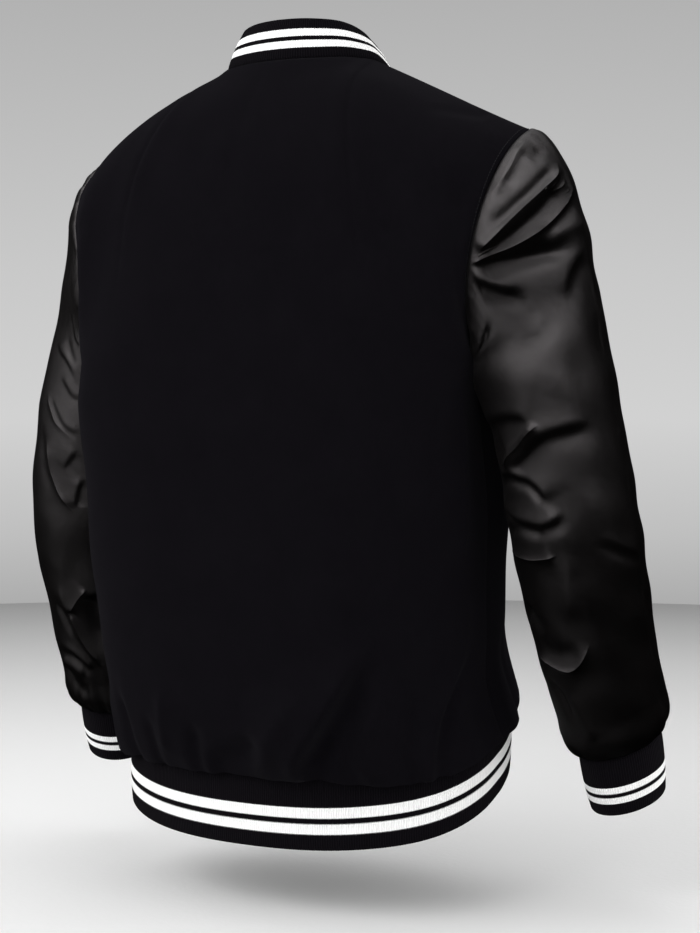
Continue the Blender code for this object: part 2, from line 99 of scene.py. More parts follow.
# Evening out of the rows above the armpit
RELAX_ROWS = 3
RELAX_ROUNDS = 5
RELAX_STRENGTH = 0.5
TOP_EDGE_BACK = [
    # side (0 centre, 1 armhole), arriving x, y, z
    (0.00, 0.000, -0.230, 0.180),
    (0.18, 0.000, -0.280, 0.130),
    (0.36, 0.000, -0.370, 0.000),
    (0.50, 0.000, -0.375, -0.020),
    (0.75, 0.000, -0.340, -0.010),
    (1.00, 0.020, -0.225, 0.090),
]
TOP_EDGE_FRONT = [
    # the same columns
    (0.00, 0.000, 0.040, 0.110),
    (0.18, 0.000, 0.070, 0.100),
    (0.36, 0.000, 0.120, 0.070),
    (0.50, 0.000, 0.150, 0.050),
    (0.75, 0.000, 0.180, 0.030),
    (1.00, -0.020, 0.240, -0.010),
]

NECK_RINGS = [
    # angle from centre back, seam z, top edge z
    (0.0, 0.0075, 0.0440),
    (30.0, 0.0080, 0.0435),
    (60.0, 0.0095, 0.0410),
    (90.0, 0.0060, 0.0310),
    (120.0, -0.0190, 0.0110),
    (150.0, -0.0540, -0.0180),
    (180.0, -0.0720, -0.0350),
]
NECK_HALF_WIDTH = 0.0775
NECK_BACK_DEPTH = 0.066
NECK_FRONT_DEPTH = 0.100
COLLAR_SIDE_LEAN = 0.015
COLLAR_BACK_LEAN = 0.011

# The fronts overlap by LAP to each side of centre front, and the right one lies LAP_DROP behind the left
LAP = 0.015
LAP_DROP = 0.0038
LAP_DROP_START = 0.065
LAP_RAMP = 0.035

SLEEVE_CAP = [
    # angle (0 shoulder, 90 back, 180 underarm, 270 front), reach out, back, up
    (0.0, 0.095, -0.020, -0.005),
    (90.0, 0.065, 0.010, -0.060),
    (135.0, 0.070, 0.010, -0.030),
    (180.0, 0.035, 0.000, -0.030),
    (225.0, 0.070, -0.010, -0.030),
    (270.0, 0.055, -0.020, -0.050),
    (360.0, 0.095, -0.020, -0.005),
]
# Share of the length whose ring says which way the cap runs into the tube
CAP_ARRIVAL_SHARE = 0.05
SLEEVE_RINGS = [
    # share of length, x, y, z, half across, half deep, outer rise, back rise
    (0.00, 0.2290, -0.006, -0.245, 0.0435, 0.0660, 0.042, 0.000),
    (0.16, 0.2400, -0.003, -0.300, 0.0475, 0.0660, 0.025, 0.000),
    (0.29, 0.2475, -0.005, -0.345, 0.0505, 0.0660, 0.012, -0.003),
    (0.42, 0.2530, -0.010, -0.390, 0.0520, 0.0655, 0.006, -0.008),
    (0.59, 0.2580, -0.026, -0.450, 0.0500, 0.0600, 0.005, -0.016),
    (0.73, 0.2610, -0.042, -0.500, 0.0470, 0.0560, 0.006, -0.018),
    (0.87, 0.2660, -0.057, -0.545, 0.0440, 0.0510, 0.006, -0.017),
    (0.96, 0.2685, -0.066, -0.570, 0.0410, 0.0450, 0.006, -0.015),
    (1.00, 0.2695, -0.070, -0.581, 0.0350, 0.0370, 0.006, -0.013),
]
# The cuff's free edge, with the same columns after the share
CUFF_BOTTOM = (0.2725, -0.0820, -0.631, 0.0320, 0.0330, 0.005, -0.011)

SNAP_RADIUS = 0.0075
SNAP_HEIGHT = 0.0030
SNAP_GAP = 0.0004
FACES_UP = 0.9
SNAP_SIDES = 40
SNAP_BASE_SHARE = 0.4
SNAP_ROUNDING = 0.0003
SNAP_CORNER = math.radians(50)
SNAP_SMOOTH = math.radians(40)
SNAP_STEPS = [
    # how far in from the last edge (shares of the radius), how far up (shares of the height)
    (0.10, 0.22),
    (0.16, 0.10),
    (0.05, -0.12),
    (0.06, 0.14),
    (0.18, 0.06),
    (0.18, 0.02),
]
FIRST_SNAP = 0.024
SNAP_SPACING = 0.078
FRONT_SNAPS = 6

# Columns and rows of the pieces, as on the solids
SHOULDER_COLUMNS = 7
NECK_BACK_COLUMNS = 8
NECK_FRONT_COLUMNS = 4
LOWER_ROWS = 8
UPPER_ROWS = 11
CAP_ROWS = 6
TUBE_ROWS = 17
RIB_ROWS = 2
MIRROR = np.array((-1.0, 1.0, 1.0))

# Each column and row of the solids is divided into this many
DETAIL = 9
# Girths that turn degrees round a piece into metres
GIRTH = {"sleeve": 0.360, "body": 1.050}
# How far the rib bands bow out between their two edges
HEM_BOW = 0.0015
RIB_BOW = 0.0012

# The rim of a shell is rounded at these turns from its outside to its inside, in degrees
RIM_TURNS = (45, 90, 135)
SHARP_ANGLE = math.radians(60)

# How far the cloth behind the left arm is drawn in
ARM_BACK_DRAW = [
    # z, mm
    (-0.290, 0.0),
    (-0.245, 5.5),
    (-0.220, 10.0),
    (-0.190, 12.5),
    (-0.165, 12.0),
    (-0.150, 9.5),
    (-0.126, 4.0),
    (-0.095, 0.0),
]
# It is drawn in behind and beyond these places, fully so after these distances, and partly forward
DRAW_START_X, DRAW_RAMP_X = 0.06, 0.10
DRAW_START_Y, DRAW_RAMP_Y = 0.02, 0.05
DRAW_FORWARD = 0.25

# How far the body cloth hangs over the hem seam
HEM_DROOP = [
    # angle from centre back, mm
    (-180, 9),
    (-140, 16),
    (-115, 27),
    (-100, 27),
    (-90, 22),
    (-75, 18),
    (-60, 16),
    (-45, 12),
    (-30, 8),
    (-15, 5),
    (0, 5),
    (20, 6),
    (40, 9),
    (60, 13),
    (75, 16),
    (110, 14),
    (150, 9),
    (184, 9),
]
DROOP_REACH = 0.010
DROOP_OUT = 0.36
DROOP_PUFF = 0.0025

# What a seam that gathers the cloth does to it
GATHERS = [
    # cloth, side, puff: reach, rise, short folds: reach, rise, spacing, seed
    ("wool", "bottom", 0.020, 0.0000, 0.020, 0.0016, 0.050, 0),
    ("satin", "bottom", 0.014, 0.0020, 0.012, 0.0014, 0.022, 0),
    ("satin", "top", 0.005, 0.0012, 0.008, 0.0006, 0.012, 40),
]
# Gentle waves over the cloth, clear of its seams: rise, length
UNDULATION = {"wool": (0.0008, 0.11), "satin": (0.0012, 0.055)}
UNDULATION_CLEAR = 0.03
UNDULATION_SEED = 20
SEAM_DIP = 0.0008
SEAM_DIP_REACH = 0.003

# White stripes on a rib band, as shares of its height from its free edge to its seam
STRIPES = {
    "collar": [(0.261, 0.451), (0.562, 0.744)],
    "cuff": [(0.205, 0.315), (0.390, 0.500)],
    "hem": [(0.203, 0.345), (0.426, 0.569)],
}

CUTS = {
    # flat width, flat length, area of the cut where it isn't a rectangle, how it is held
    "back": (0.560, 0.690, 0.340, "hung"),
    "front_left": (0.320, 0.640, 0.170, "hung"),
    "front_right": (0.320, 0.640, 0.170, "hung"),
    "sleeve_left": (0.470, 0.610, 0.215, "hung"),
    "sleeve_right": (0.470, 0.610, 0.215, "hung"),
    "cuff_left": (0.215, 0.060, None, "stretched"),
    "cuff_right": (0.215, 0.060, None, "stretched"),
    "collar": (0.460, 0.036, None, "stretched"),
    "hem_rib": (0.960, 0.062, None, "stretched"),
}


# ---------------- creases

# A ridge has a narrow crest, an edge is a ridge pressed to a sharp line, and a swell and a trough are soft.
# A tuck lies over: it slopes down slowly to the left of its path and drops at once to the right. A lap
# stands proud to the left of its path, drops steeply across it and comes back slowly to the right.
CREASES = {
    # kind, reach, rise (mm), fade at start, fade at end, and its path: degrees, z (mm), degrees, z and so on
    "sleeve_right": [
        ("edge", 3, 2.2, 0.2, 0.2, [14, -74, 28, -87, 40, -101, 52, -114, 64, -127]),
        ("trough", 3, 1.8, 0.2, 0.2, [20, -83, 28, -90, 36, -99, 45, -110, 56, -121]),
        ("trough", 3, 1.6, 0.3, 0.3, [9, -79, 18, -88, 26, -96]),
        ("ridge", 6, 3.4, 0.2, 0.2, [8, -86, 22, -99, 34, -109, 46, -120, 60, -132, 76, -146]),
        ("trough", 3, 2.6, 0.2, 0.2, [14, -99, 23, -107, 41, -123, 53, -133, 66, -144, 80, -155]),
        ("edge", 4, 4.4, 0.2, 0.1, [3, -91, 16, -106, 29, -117, 54, -138, 80, -160, 94, -171]),
        ("lap", 7, 8.0, 0.2, 0.1, [-1, -94, 14, -109, 28, -122, 44, -137, 69, -156, 96, -174]),
        ("edge", 3, 2.4, 0.3, 0.3, [0, -103, 9, -112, 19, -117, 27, -121]),
        ("edge", 4, 4.6, 0.2, 0.1, [-12, -104, 13, -128, 39, -149, 66, -165, 92, -175, 106, -181]),
        ("trough", 5, 3.6, 0.3, 0.3, [-18, -113, 5, -127, 21, -140, 32, -149, 42, -156]),
        ("ridge", 6, 3.4, 0.3, 0.3, [-12, -135, 8, -145, 24, -150, 37, -155]),
        ("trough", 7, 7.4, 0.1, 0.3, [106, -185, 84, -180, 67, -176, 49, -171, 30, -166, 8, -157]),
        ("ridge", 7, 4.0, 0.2, 0.3, [114, -189, 100, -193, 88, -197, 70, -202]),
        ("trough", 6, 5.4, 0.1, 0.3, [116, -200, 98, -203, 84, -206, 66, -209]),
        ("ridge", 6, 2.8, 0.2, 0.3, [4, -158, 15, -172, 25, -182, 32, -192, 38, -206]),
        ("trough", 9, 3.2, 0.3, 0.4, [-2, -163, 10, -177, 21, -190, 29, -202, 36, -220]),
        ("trough", 7, 2.2, 0.3, 0.4, [58, -213, 55, -228, 62, -238, 80, -247, 93, -259, 106, -274]),
        ("swell", 24, 1.4, 0.3, 0.3, [36, -208, 47, -241, 57, -265, 68, -290]),
        ("swell", 40, 13.0, 0.6, 0.1, [34, -284, 70, -274, 104, -267, 140, -262, 190, -262]),
        ("lap", 10, 6.5, 0.3, 0.2, [80, -308, 96, -304, 120, -306, 146, -312]),
        ("edge", 4, 4.4, 0.2, 0.2, [119, -346, 112, -338, 99, -328, 87, -317, 77, -309]),
        ("lap", 11, 9.0, 0.3, 0.1, [26, -308, 46, -312, 71, -318, 84, -325, 96, -335, 112, -346]),
        ("tuck", 7, 3.8, 0.2, 0.2, [79, -373, 84, -363, 91, -356, 101, -351, 120, -348, 144, -354]),
        ("tuck", 8, 3.4, 0.2, 0.2, [70, -377, 80, -386, 95, -389, 113, -386, 128, -379, 142, -370]),
        ("trough", 5, 3.0, 0.2, 0.3, [142, -399, 128, -396, 108, -395, 96, -397, 88, -403]),
        ("edge", 5, 3.2, 0.2, 0.3, [80, -415, 91, -418, 108, -419, 130, -415, 142, -408]),
        ("ridge", 8, 2.6, 0.3, 0.3, [70, -410, 76, -440, 83, -476]),
        ("tuck", 9, 1.8, 0.3, 0.4, [-8, -416, 14, -410, 30, -404, 46, -398]),
        ("trough", 8, 5.4, 0.1, 0.4, [142, -464, 126, -470, 106, -484]),
        ("edge", 5, 4.6, 0.2, 0.2, [65, -488, 77, -504, 88, -511, 100, -510, 116, -505, 140, -497]),
        ("trough", 7, 2.4, 0.3, 0.3, [76, -490, 88, -498, 104, -497, 124, -490]),
        ("trough", 5, 3.0, 0.2, 0.3, [126, -522, 112, -533, 106, -546, 103, -562]),
        ("ridge", 6, 2.2, 0.3, 0.2, [96, -530, 92, -550, 86, -575]),
    ],
    "sleeve_left": [
        ("swell", 13, 5.0, 0.3, 0.3, [82, -96, 96, -118, 107, -140, 117, -166]),
        ("lap", 6, 6.5, 0.4, 0.2, [50, -160, 60, -171, 73, -183, 90, -195, 106, -211]),
        ("trough", 3, 2.0, 0.3, 0.3, [60, -134, 74, -149, 88, -164]),
        ("lap", 3, 2.6, 0.2, 0.2, [70, -206, 81, -221, 90, -231, 100, -237]),
        ("lap", 4, 4.2, 0.3, 0.3, [54, -230, 68, -240, 82, -248, 93, -257, 108, -274]),
        ("trough", 3, 1.8, 0.3, 0.3, [72, -228, 87, -243, 100, -257]),
        ("lap", 4, 3.6, 0.3, 0.2, [82, -264, 95, -275, 104, -283, 114, -287]),
        ("edge", 3, 1.6, 0.2, 0.3, [70, -279, 82, -296, 89, -306, 97, -313, 112, -324]),
        ("lap", 4, 3.2, 0.3, 0.2, [78, -282, 86, -292, 94, -302, 102, -311, 110, -316, 119, -320]),
        ("trough", 6, 1.8, 0.3, 0.3, [66, -306, 78, -335, 86, -357, 96, -378]),
        ("edge", 5, 2.8, 0.3, 0.2, [80, -322, 86, -335, 91, -353, 97, -366, 104, -378, 118, -395]),
        ("lap", 6, 3.2, 0.3, 0.3, [105, -353, 111, -344, 119, -334]),
        ("lap", 5, 5.0, 0.2, 0.3, [119, -388, 121, -374, 125, -360]),
        ("ridge", 16, 2.4, 0.3, 0.3, [66, -420, 84, -440, 110, -452]),
        ("ridge", 4, 2.4, 0.3, 0.1, [88, -464, 93, -481, 97, -491]),
        ("edge", 4, 3.4, 0.2, 0.1, [97, -491, 108, -478, 119, -467]),
        ("trough", 14, 6.5, 0.2, 0.4, [128, -470, 128, -500, 134, -540]),
        ("trough", 4, 3.4, 0.3, 0.3, [78, -476, 85, -491, 90, -502, 96, -517]),
        ("edge", 3, 3.0, 0.1, 0.3, [97, -491, 100, -502, 104, -514, 110, -525, 118, -536, 124, -545]),
        ("ridge", 4, 2.8, 0.3, 0.2, [64, -519, 90, -527, 103, -536, 113, -548]),
        ("trough", 4, 3.2, 0.3, 0.2, [56, -530, 86, -535, 100, -542, 108, -552]),
        ("ridge", 5, 2.8, 0.3, 0.2, [58, -537, 86, -544, 104, -552]),
        ("trough", 6, 4.6, 0.2, 0.2, [50, -546, 69, -555, 86, -564, 104, -572]),
        ("ridge", 3, 2.0, 0.3, 0.2, [76, -555, 89, -564, 99, -570]),
    ],
    "back": [
        ("tuck", 16, 12.5, 0.5, 0.3, [-42, -478, -33, -508, -25, -548, -17, -580, -13, -603]),
        ("ridge", 10, 8.0, 0.4, 0.3, [-22, -520, -15, -548, -9, -575, -3, -603]),
        ("trough", 8, 7.5, 0.3, 0.2, [-9, -566, -2, -584, 7, -600]),
        ("trough", 6, 5.4, 0.4, 0.3, [6, -560, 9, -582, 11, -604]),
        ("ridge", 7, 5.1, 0.4, 0.1, [14, -528, 17, -556, 20, -590]),
        ("trough", 7, 3.9, 0.4, 0.1, [24, -556, 26, -602]),
        ("trough", 9, 5.4, 0.4, 0.1, [-40, -520, -35, -553, -30, -597]),
        ("ridge", 9, 3.9, 0.4, 0.1, [-47, -520, -41, -552, -36, -597]),
        ("trough", 9, 4.8, 0.4, 0.1, [-58, -524, -54, -556, -50, -592]),
        ("tuck", 10, 5.4, 0.4, 0.1, [-82, -484, -70, -530, -62, -560, -55, -588]),
        ("trough", 9, 4.5, 0.4, 0.1, [42, -540, 40, -570, 38, -600]),
        ("ridge", 9, 4.5, 0.4, 0.1, [56, -536, 52, -570, 50, -600]),
        ("trough", 9, 4.2, 0.4, 0.1, [72, -548, 66, -604]),
        ("ridge", 5, 2.0, 0.3, 0.3, [-73, -262, -77, -330, -77, -400, -74, -424]),
        ("ridge", 5, 1.6, 0.3, 0.3, [-80, -444, -79, -492]),
        ("trough", 5, 1.4, 0.3, 0.1, [-60, -44, -70, -48, -78, -50]),
        ("ridge", 9, 1.2, 0.4, 0.2, [-52, -99, -68, -101, -88, -95]),
        ("trough", 12, 1.6, 0.4, 0.2, [-56, -122, -72, -130, -88, -128]),
        ("trough", 12, 1.6, 0.4, 0.2, [56, -128, 72, -136, 88, -132]),
    ],
    "front_left": [
        ("trough", 12, 3.0, 0.4, 0.1, [104, -470, 112, -510, 118, -560]),
        ("ridge", 10, 3.0, 0.4, 0.1, [116, -480, 125, -520, 130, -558]),
        ("trough", 10, 2.8, 0.4, 0.1, [134, -488, 141, -530, 145, -556]),
        ("ridge", 10, 2.2, 0.4, 0.1, [150, -500, 155, -554]),
        ("trough", 14, 2.4, 0.2, 0.5, [92, -240, 106, -268, 124, -282]),
        ("ridge", 12, 2.0, 0.2, 0.5, [92, -214, 108, -236, 126, -244]),
    ],
    "front_right": [
        ("trough", 12, 3.2, 0.4, 0.1, [-100, -480, -108, -520, -112, -568]),
        ("ridge", 10, 3.0, 0.4, 0.1, [-118, -470, -122, -520, -125, -562]),
        ("trough", 10, 2.8, 0.4, 0.1, [-138, -476, -138, -530, -136, -560]),
        ("trough", 14, 2.4, 0.2, 0.5, [-92, -246, -108, -276, -128, -296]),
        ("ridge", 12, 2.2, 0.2, 0.5, [-92, -220, -106, -240, -120, -250]),
    ],
}


# The hidden sides of the sleeves repeat these creases, further round and a little shallower
REPEATS = [
    # onto, creases of, degrees round, mm down, those that start below z, and above z
    ("sleeve_right", "sleeve_left", 172, 4, 0, -600),
    ("sleeve_right", "sleeve_right", -186, 10, -300, -480),
    ("sleeve_left", "sleeve_right", 176, -6, 0, -600),
    ("sleeve_left", "sleeve_right", -186, 14, -300, -480),
]
REPEAT_RISE = 0.8


def all_creases():
    """The creases of every piece, with those that its hidden sides repeat."""
    creases = {name: list(rows) for name, rows in CREASES.items()}
    for onto, source, degrees, down, top, bottom in REPEATS:
        for kind, reach, rise, start, end, points in CREASES[source]:
            if bottom < points[1] < top:
                points = np.reshape(points, (-1, 2)) + (degrees, -down)
                creases[onto].append((kind, reach, rise * REPEAT_RISE, start, end, points))
    return creases


# ---------------- curves and tables

def hermite(start, end, leave, arrive, t):
    """Cubic curve between two points with its two end tangents."""
    return ((1 + 2 * t) * (1 - t) ** 2 * start + t * (1 - t) ** 2 * leave
            + t ** 2 * (3 - 2 * t) * end + t ** 2 * (t - 1) * arrive)


def read_table(rows, at):
    """All columns of a table at the values of its first column, on smooth curves."""
    rows = np.array(rows)
    keys, values = rows[:, 0], rows[:, 1:]
    slopes = np.gradient(values, keys, axis=0)
    at = np.atleast_1d(at)
    low = np.clip(np.searchsorted(keys, at, side="right") - 1, 0, len(keys) - 2)
    span = (keys[low + 1] - keys[low])[:, None]
    t = (at - keys[low])[:, None] / span
    return hermite(values[low], values[low + 1], slopes[low] * span, slopes[low + 1] * span, t)


def signed_power(value, power):
    return np.sign(value) * np.abs(value) ** power


def smooth_step(value):
    value = np.clip(value, 0.0, 1.0)
    return value * value * (3 - 2 * value)


def unit(vectors):
    return vectors / np.linalg.norm(vectors, axis=-1, keepdims=True)


def run_lengths(run):
    """Length along a run of points up to each of them."""
    return np.concatenate([[0.0], np.cumsum(np.linalg.norm(np.diff(run, axis=0), axis=1))])


def read_run(at, lengths, values):
    """The three measures that a run has at a length along it."""
    return np.array([np.interp(at, lengths, values[:, axis]) for axis in range(3)])


def bulge(share):
    """Rises from 0 at a seam to 1 at a share of 1, and dies away beyond."""
    return share * np.exp(1 - share)


def refine(values, factor):
    """An array with factor times as many steps along its first axis, on smooth curves."""
    ends = [2 * values[:1] - values[1:2], values, 2 * values[-1:] - values[-2:-1]]
    padded = np.concatenate(ends)
    slopes = (padded[2:] - padded[:-2]) / 2
    at = np.linspace(0, len(values) - 1, (len(values) - 1) * factor + 1)
    low = np.minimum(at.astype(int), len(values) - 2)
    t = (at - low).reshape(-1, *[1] * (values.ndim - 1))
    return hermite(values[low], values[low + 1], slopes[low], slopes[low + 1], t)


# ---------------- body

def hem_seam_z(angle):
    """Height of the hem seam."""
    return read_table(HEM_EDGE, np.degrees(angle))[:, 0] + HEM_RIB_WIDTH


def ring_xy(half_width, half_depth, centre_y, squareness, press, angle):
    """Points of one body ring. The arms press its sides in."""
    x = half_width * signed_power(np.sin(angle), 2 / squareness)
    y = centre_y + half_depth * signed_power(np.cos(angle), 2 / squareness)
    x *= 1 - press / half_width * np.exp(-(y / ARM_PRESS_REACH) ** 2)
    return x, y


def front_angles(detail):
    """Column angles of the left front, from the side seam to centre front."""
    return np.linspace(math.pi / 2, math.pi, (SHOULDER_COLUMNS + NECK_FRONT_COLUMNS) * detail + 1)


def back_angles(detail):
    columns = 2 * SHOULDER_COLUMNS + NECK_BACK_COLUMNS
    return np.linspace(-math.pi / 2, math.pi / 2, columns * detail + 1)


def lower_rows(angles, seam_z, detail):
    """Rows of a body panel from the hem seam to the armpit."""
    rows = []
    for share in np.linspace(0, 1, LOWER_ROWS * detail + 1):
        x, y = ring_xy(*read_table(BODY_RINGS, share)[0], angles)
        rows.append(np.stack([x, y, seam_z + (ARMPIT_Z - seam_z) * share], axis=-1))
    return np.array(rows)


def neck_seam(angle):
    """Points of the neck seam, angle 0 at centre back and positive to the wearer's left."""
    depth = np.where(np.cos(angle) > 0, NECK_BACK_DEPTH, NECK_FRONT_DEPTH)
    z = read_table(NECK_RINGS, np.degrees(np.abs(angle)).clip(0, 180))[:, 0]
    return np.stack([NECK_HALF_WIDTH * np.sin(angle), depth * np.cos(angle), z], axis=-1)


def shoulder_seam(detail):
    """Points from the left shoulder tip to the neck, one for each column edge."""
    share = np.linspace(0, 1, SHOULDER_COLUMNS * detail + 1)[:, None]
    neck = neck_seam(np.array([math.radians(SIDE_NECK_ANGLE)]))[0]
    return np.array(SHOULDER_TIP) * (1 - share) + neck * share


def upper_rows(lower, top, side, panel_rise, armhole_leave, table, detail):
    """Rows of a body panel from the armpit to its top edge."""
    mirror = np.where(side[:, None] < 0, MIRROR, 1.0)
    arrive = read_table(table, np.abs(side)) * mirror
    rise = lower[-1] - lower[-2]
    rise *= panel_rise / np.linalg.norm(rise, axis=1)[:, None]
    turn = smooth_step((np.abs(side) - ARMHOLE_TURN) / (1 - ARMHOLE_TURN))[:, None]
    leave = rise + (np.array(armhole_leave) * mirror - rise) * turn
    shares = np.linspace(0, 1, UPPER_ROWS * detail + 1)[1:]
    return np.array([hermite(lower[-1], top, leave, arrive, share) for share in shares])


def relaxation(grid):
    """How far the inside of the rows above the armpit moves when it is evened out."""
    relaxed = grid.copy()
    above = (np.arange(len(grid)) - LOWER_ROWS) / RELAX_ROWS
    weight = RELAX_STRENGTH * np.clip(above, 0, 1)[1:-1, None, None]
    for _ in range(RELAX_ROUNDS):
        around = relaxed[:-2, 1:-1] + relaxed[2:, 1:-1] + relaxed[1:-1, :-2] + relaxed[1:-1, 2:]
        relaxed[1:-1, 1:-1] += weight * (around / 4 - relaxed[1:-1, 1:-1])
    return relaxed - grid


def refined_relaxation(grid):
    """The same, for a grid with DETAIL times as many rows and columns."""
    moves = refine(relaxation(grid), DETAIL)
    return refine(moves.swapaxes(0, 1), DETAIL).swapaxes(0, 1)


def plain_back(detail):
    angles = back_angles(detail)
    lower = lower_rows(angles, hem_seam_z(angles), detail)
    left_shoulder = shoulder_seam(detail)
    neck_angle = math.radians(SIDE_NECK_ANGLE)
    neck = neck_seam(np.linspace(-neck_angle, neck_angle, NECK_BACK_COLUMNS * detail + 1))
    top = np.concatenate([left_shoulder * MIRROR, neck[1:-1], left_shoulder[::-1]])
    side = angles / (math.pi / 2)
    upper = upper_rows(lower, top, side, BACK_RISE, ARMHOLE_BACK_LEAVE, TOP_EDGE_BACK, detail)
    return np.concatenate([lower, upper])


def plain_front(hem_side, detail):
    """A front panel as on the wearer's left, from the side seam to centre front."""
    angles = front_angles(detail)
    lower = lower_rows(angles, hem_seam_z(angles * hem_side), detail)
    neck_angle = math.radians(SIDE_NECK_ANGLE)
    neck = neck_seam(np.linspace(neck_angle, math.pi, NECK_FRONT_COLUMNS * detail + 1))
    top = np.concatenate([shoulder_seam(detail), neck[1:]])
    side = np.linspace(1, 0, lower.shape[1])
    upper = upper_rows(lower, top, side, FRONT_RISE, ARMHOLE_FRONT_LEAVE, TOP_EDGE_FRONT, detail)
    return np.concatenate([lower, upper])


def back_grid():
    return plain_back(DETAIL) + refined_relaxation(plain_back(1))


def front_grid(hem_side):
    coarse = plain_front(hem_side, 1)
    coarse = np.concatenate([coarse, coarse[:, -2:-1] * MIRROR], axis=1)
    moves = refined_relaxation(coarse)[:, :-DETAIL]
    return add_lap(plain_front(hem_side, DETAIL) + moves)


def add_lap(half):
    """Carries a strip that ends at centre front on by LAP, as the mirror of the cloth beside it."""
    lap = []
    for x in np.linspace(0, LAP, DETAIL // 2 + 1)[1:]:
        lap.append([read_run(x, row[::-1, 0], row[::-1] * MIRROR) for row in half])
    return np.concatenate([half, np.array(lap).swapaxes(0, 1)], axis=1)


def under_lap(grid):
    """Mirrors a left piece to the right and lays its front edge back, under the left one's."""
    grid = (grid * MIRROR)[:, ::-1]
    grid[..., 1] += LAP_DROP * smooth_step((grid[..., 0] + LAP_DROP_START) / LAP_RAMP)
    return grid


def draw_in(grid):
    """Draws in the cloth behind the left arm, which hangs a little further forward than the right."""
    x, y, z = np.moveaxis(grid, -1, 0)
    amount = np.interp(z, *np.array(ARM_BACK_DRAW).T) / 1000
    amount *= smooth_step((y - DRAW_START_Y) / DRAW_RAMP_Y) * smooth_step((x - DRAW_START_X) / DRAW_RAMP_X)
    return grid - np.stack([amount, amount * DRAW_FORWARD, amount * 0], axis=-1)


# ---------------- ribs

def band(bottom, top, bow, closed=False):
    """A rib band between two runs, bowed out a little between them."""
    shares = np.linspace(0, 1, RIB_ROWS * DETAIL + 1)[:, None, None]
    grid = bottom + (top - bottom) * shares
    return grid + grid_normals(grid, closed) * bow * 4 * shares * (1 - shares)


def hem_rib_grid(right_front, back, left_front):
    """The hem band. Its right end lies back under its left end."""
    seam = np.concatenate([right_front[0], back[0][1:-1], left_front[0]])
    half_width, half_depth, centre_y, squareness = HEM_RIB_BOTTOM

    def bottom_run(angles):
        x, y = ring_xy(half_width, half_depth, centre_y, squareness, 0.0, angles)
        return np.stack([x, y, hem_seam_z(angles) - HEM_RIB_WIDTH], axis=-1)[None]

    left = add_lap(bottom_run(front_angles(DETAIL)))
    right = under_lap(add_lap(bottom_run(-front_angles(DETAIL)) * MIRROR))
    bottom = np.concatenate([right[0], bottom_run(back_angles(DETAIL))[0, 1:-1], left[0]])
    return band(bottom, seam, HEM_BOW)


def collar_grid(right_front, back_panel, left_front):
    """The collar, from its right end at centre front round to its left end."""
    lap = DETAIL // 2
    neck_front, shoulder = NECK_FRONT_COLUMNS * DETAIL, SHOULDER_COLUMNS * DETAIL
    right = right_front[-1, lap:lap + neck_front + 1]
    middle = back_panel[-1, shoulder + 1:shoulder + NECK_BACK_COLUMNS * DETAIL]
    left = left_front[-1, shoulder:-lap]
    seam = np.concatenate([right, middle, left])
    neck_angle = math.radians(SIDE_NECK_ANGLE)
    front = np.linspace(neck_angle, math.pi, neck_front + 1)
    back = np.linspace(-neck_angle, neck_angle, NECK_BACK_COLUMNS * DETAIL + 1)
    angles = np.concatenate([-front[::-1], back[1:-1], front])
    top = neck_seam(angles)
    top[:, 0] -= COLLAR_SIDE_LEAN * np.sin(angles)
    top[:, 1] -= COLLAR_BACK_LEAN * np.cos(angles).clip(0)
    top[:, 2] = read_table(NECK_RINGS, np.degrees(np.abs(angles)))[:, 1]
    return band(seam, top, RIB_BOW)


# ---------------- sleeves

def sleeve_ring(ring, angle):
    """Points of one ring of the left sleeve: angle 0 outside, 90 degrees at the back."""
    x, y, z, half_across, half_deep, outer_rise, back_rise = ring
    across, deep = np.cos(angle), np.sin(angle)
    z = z + outer_rise * across + back_rise * deep
    return np.stack([x + half_across * across, y + half_deep * deep, z], axis=-1)


def left_sleeve_grid(back, left_front):
    """The left sleeve, wrist first, its columns running from the shoulder round by the front."""
    back_edge = back[LOWER_ROWS * DETAIL:, -1]
    front_edge = left_front[LOWER_ROWS * DETAIL:, 0]
    armhole = np.concatenate([back_edge[::-1], front_edge[1:]])
    angles = np.linspace(0, 2 * math.pi, len(armhole))
    bicep = sleeve_ring(read_table(SLEEVE_RINGS, 0.0)[0], angles)
    below = sleeve_ring(read_table(SLEEVE_RINGS, CAP_ARRIVAL_SHARE)[0], angles)
    leave = read_table(SLEEVE_CAP, np.degrees(angles))
    length = np.linalg.norm(bicep - armhole, axis=1)[:, None]
    arrive = unit(below - bicep) * length
    cap_shares = np.linspace(0, 1, CAP_ROWS * DETAIL + 1)[:-1]
    cap = [hermite(armhole, bicep, leave, arrive, share) for share in cap_shares]
    tube_shares = np.linspace(0, 1, TUBE_ROWS * DETAIL + 1)
    tube = [sleeve_ring(ring, angles) for ring in read_table(SLEEVE_RINGS, tube_shares)]
    return np.array(cap + tube)[::-1, ::-1]


def left_cuff_grid(sleeve):
    angles = np.linspace(0, 2 * math.pi, sleeve.shape[1])
    bottom = sleeve_ring(CUFF_BOTTOM, angles)[::-1]
    return band(bottom, sleeve[0], RIB_BOW, closed=True)


# ---------------- surface measures

def grid_normals(grid, closed):
    """Outward normals. Rows run up and columns run clockwise, seen from above."""
    if closed:
        wrapped = np.concatenate([grid[:, -2:-1], grid, grid[:, 1:2]], axis=1)
        along = (wrapped[:, 2:] - wrapped[:, :-2]) / 2
    else:
        along = np.gradient(grid, axis=1)
    return unit(np.cross(np.gradient(grid, axis=0), along))


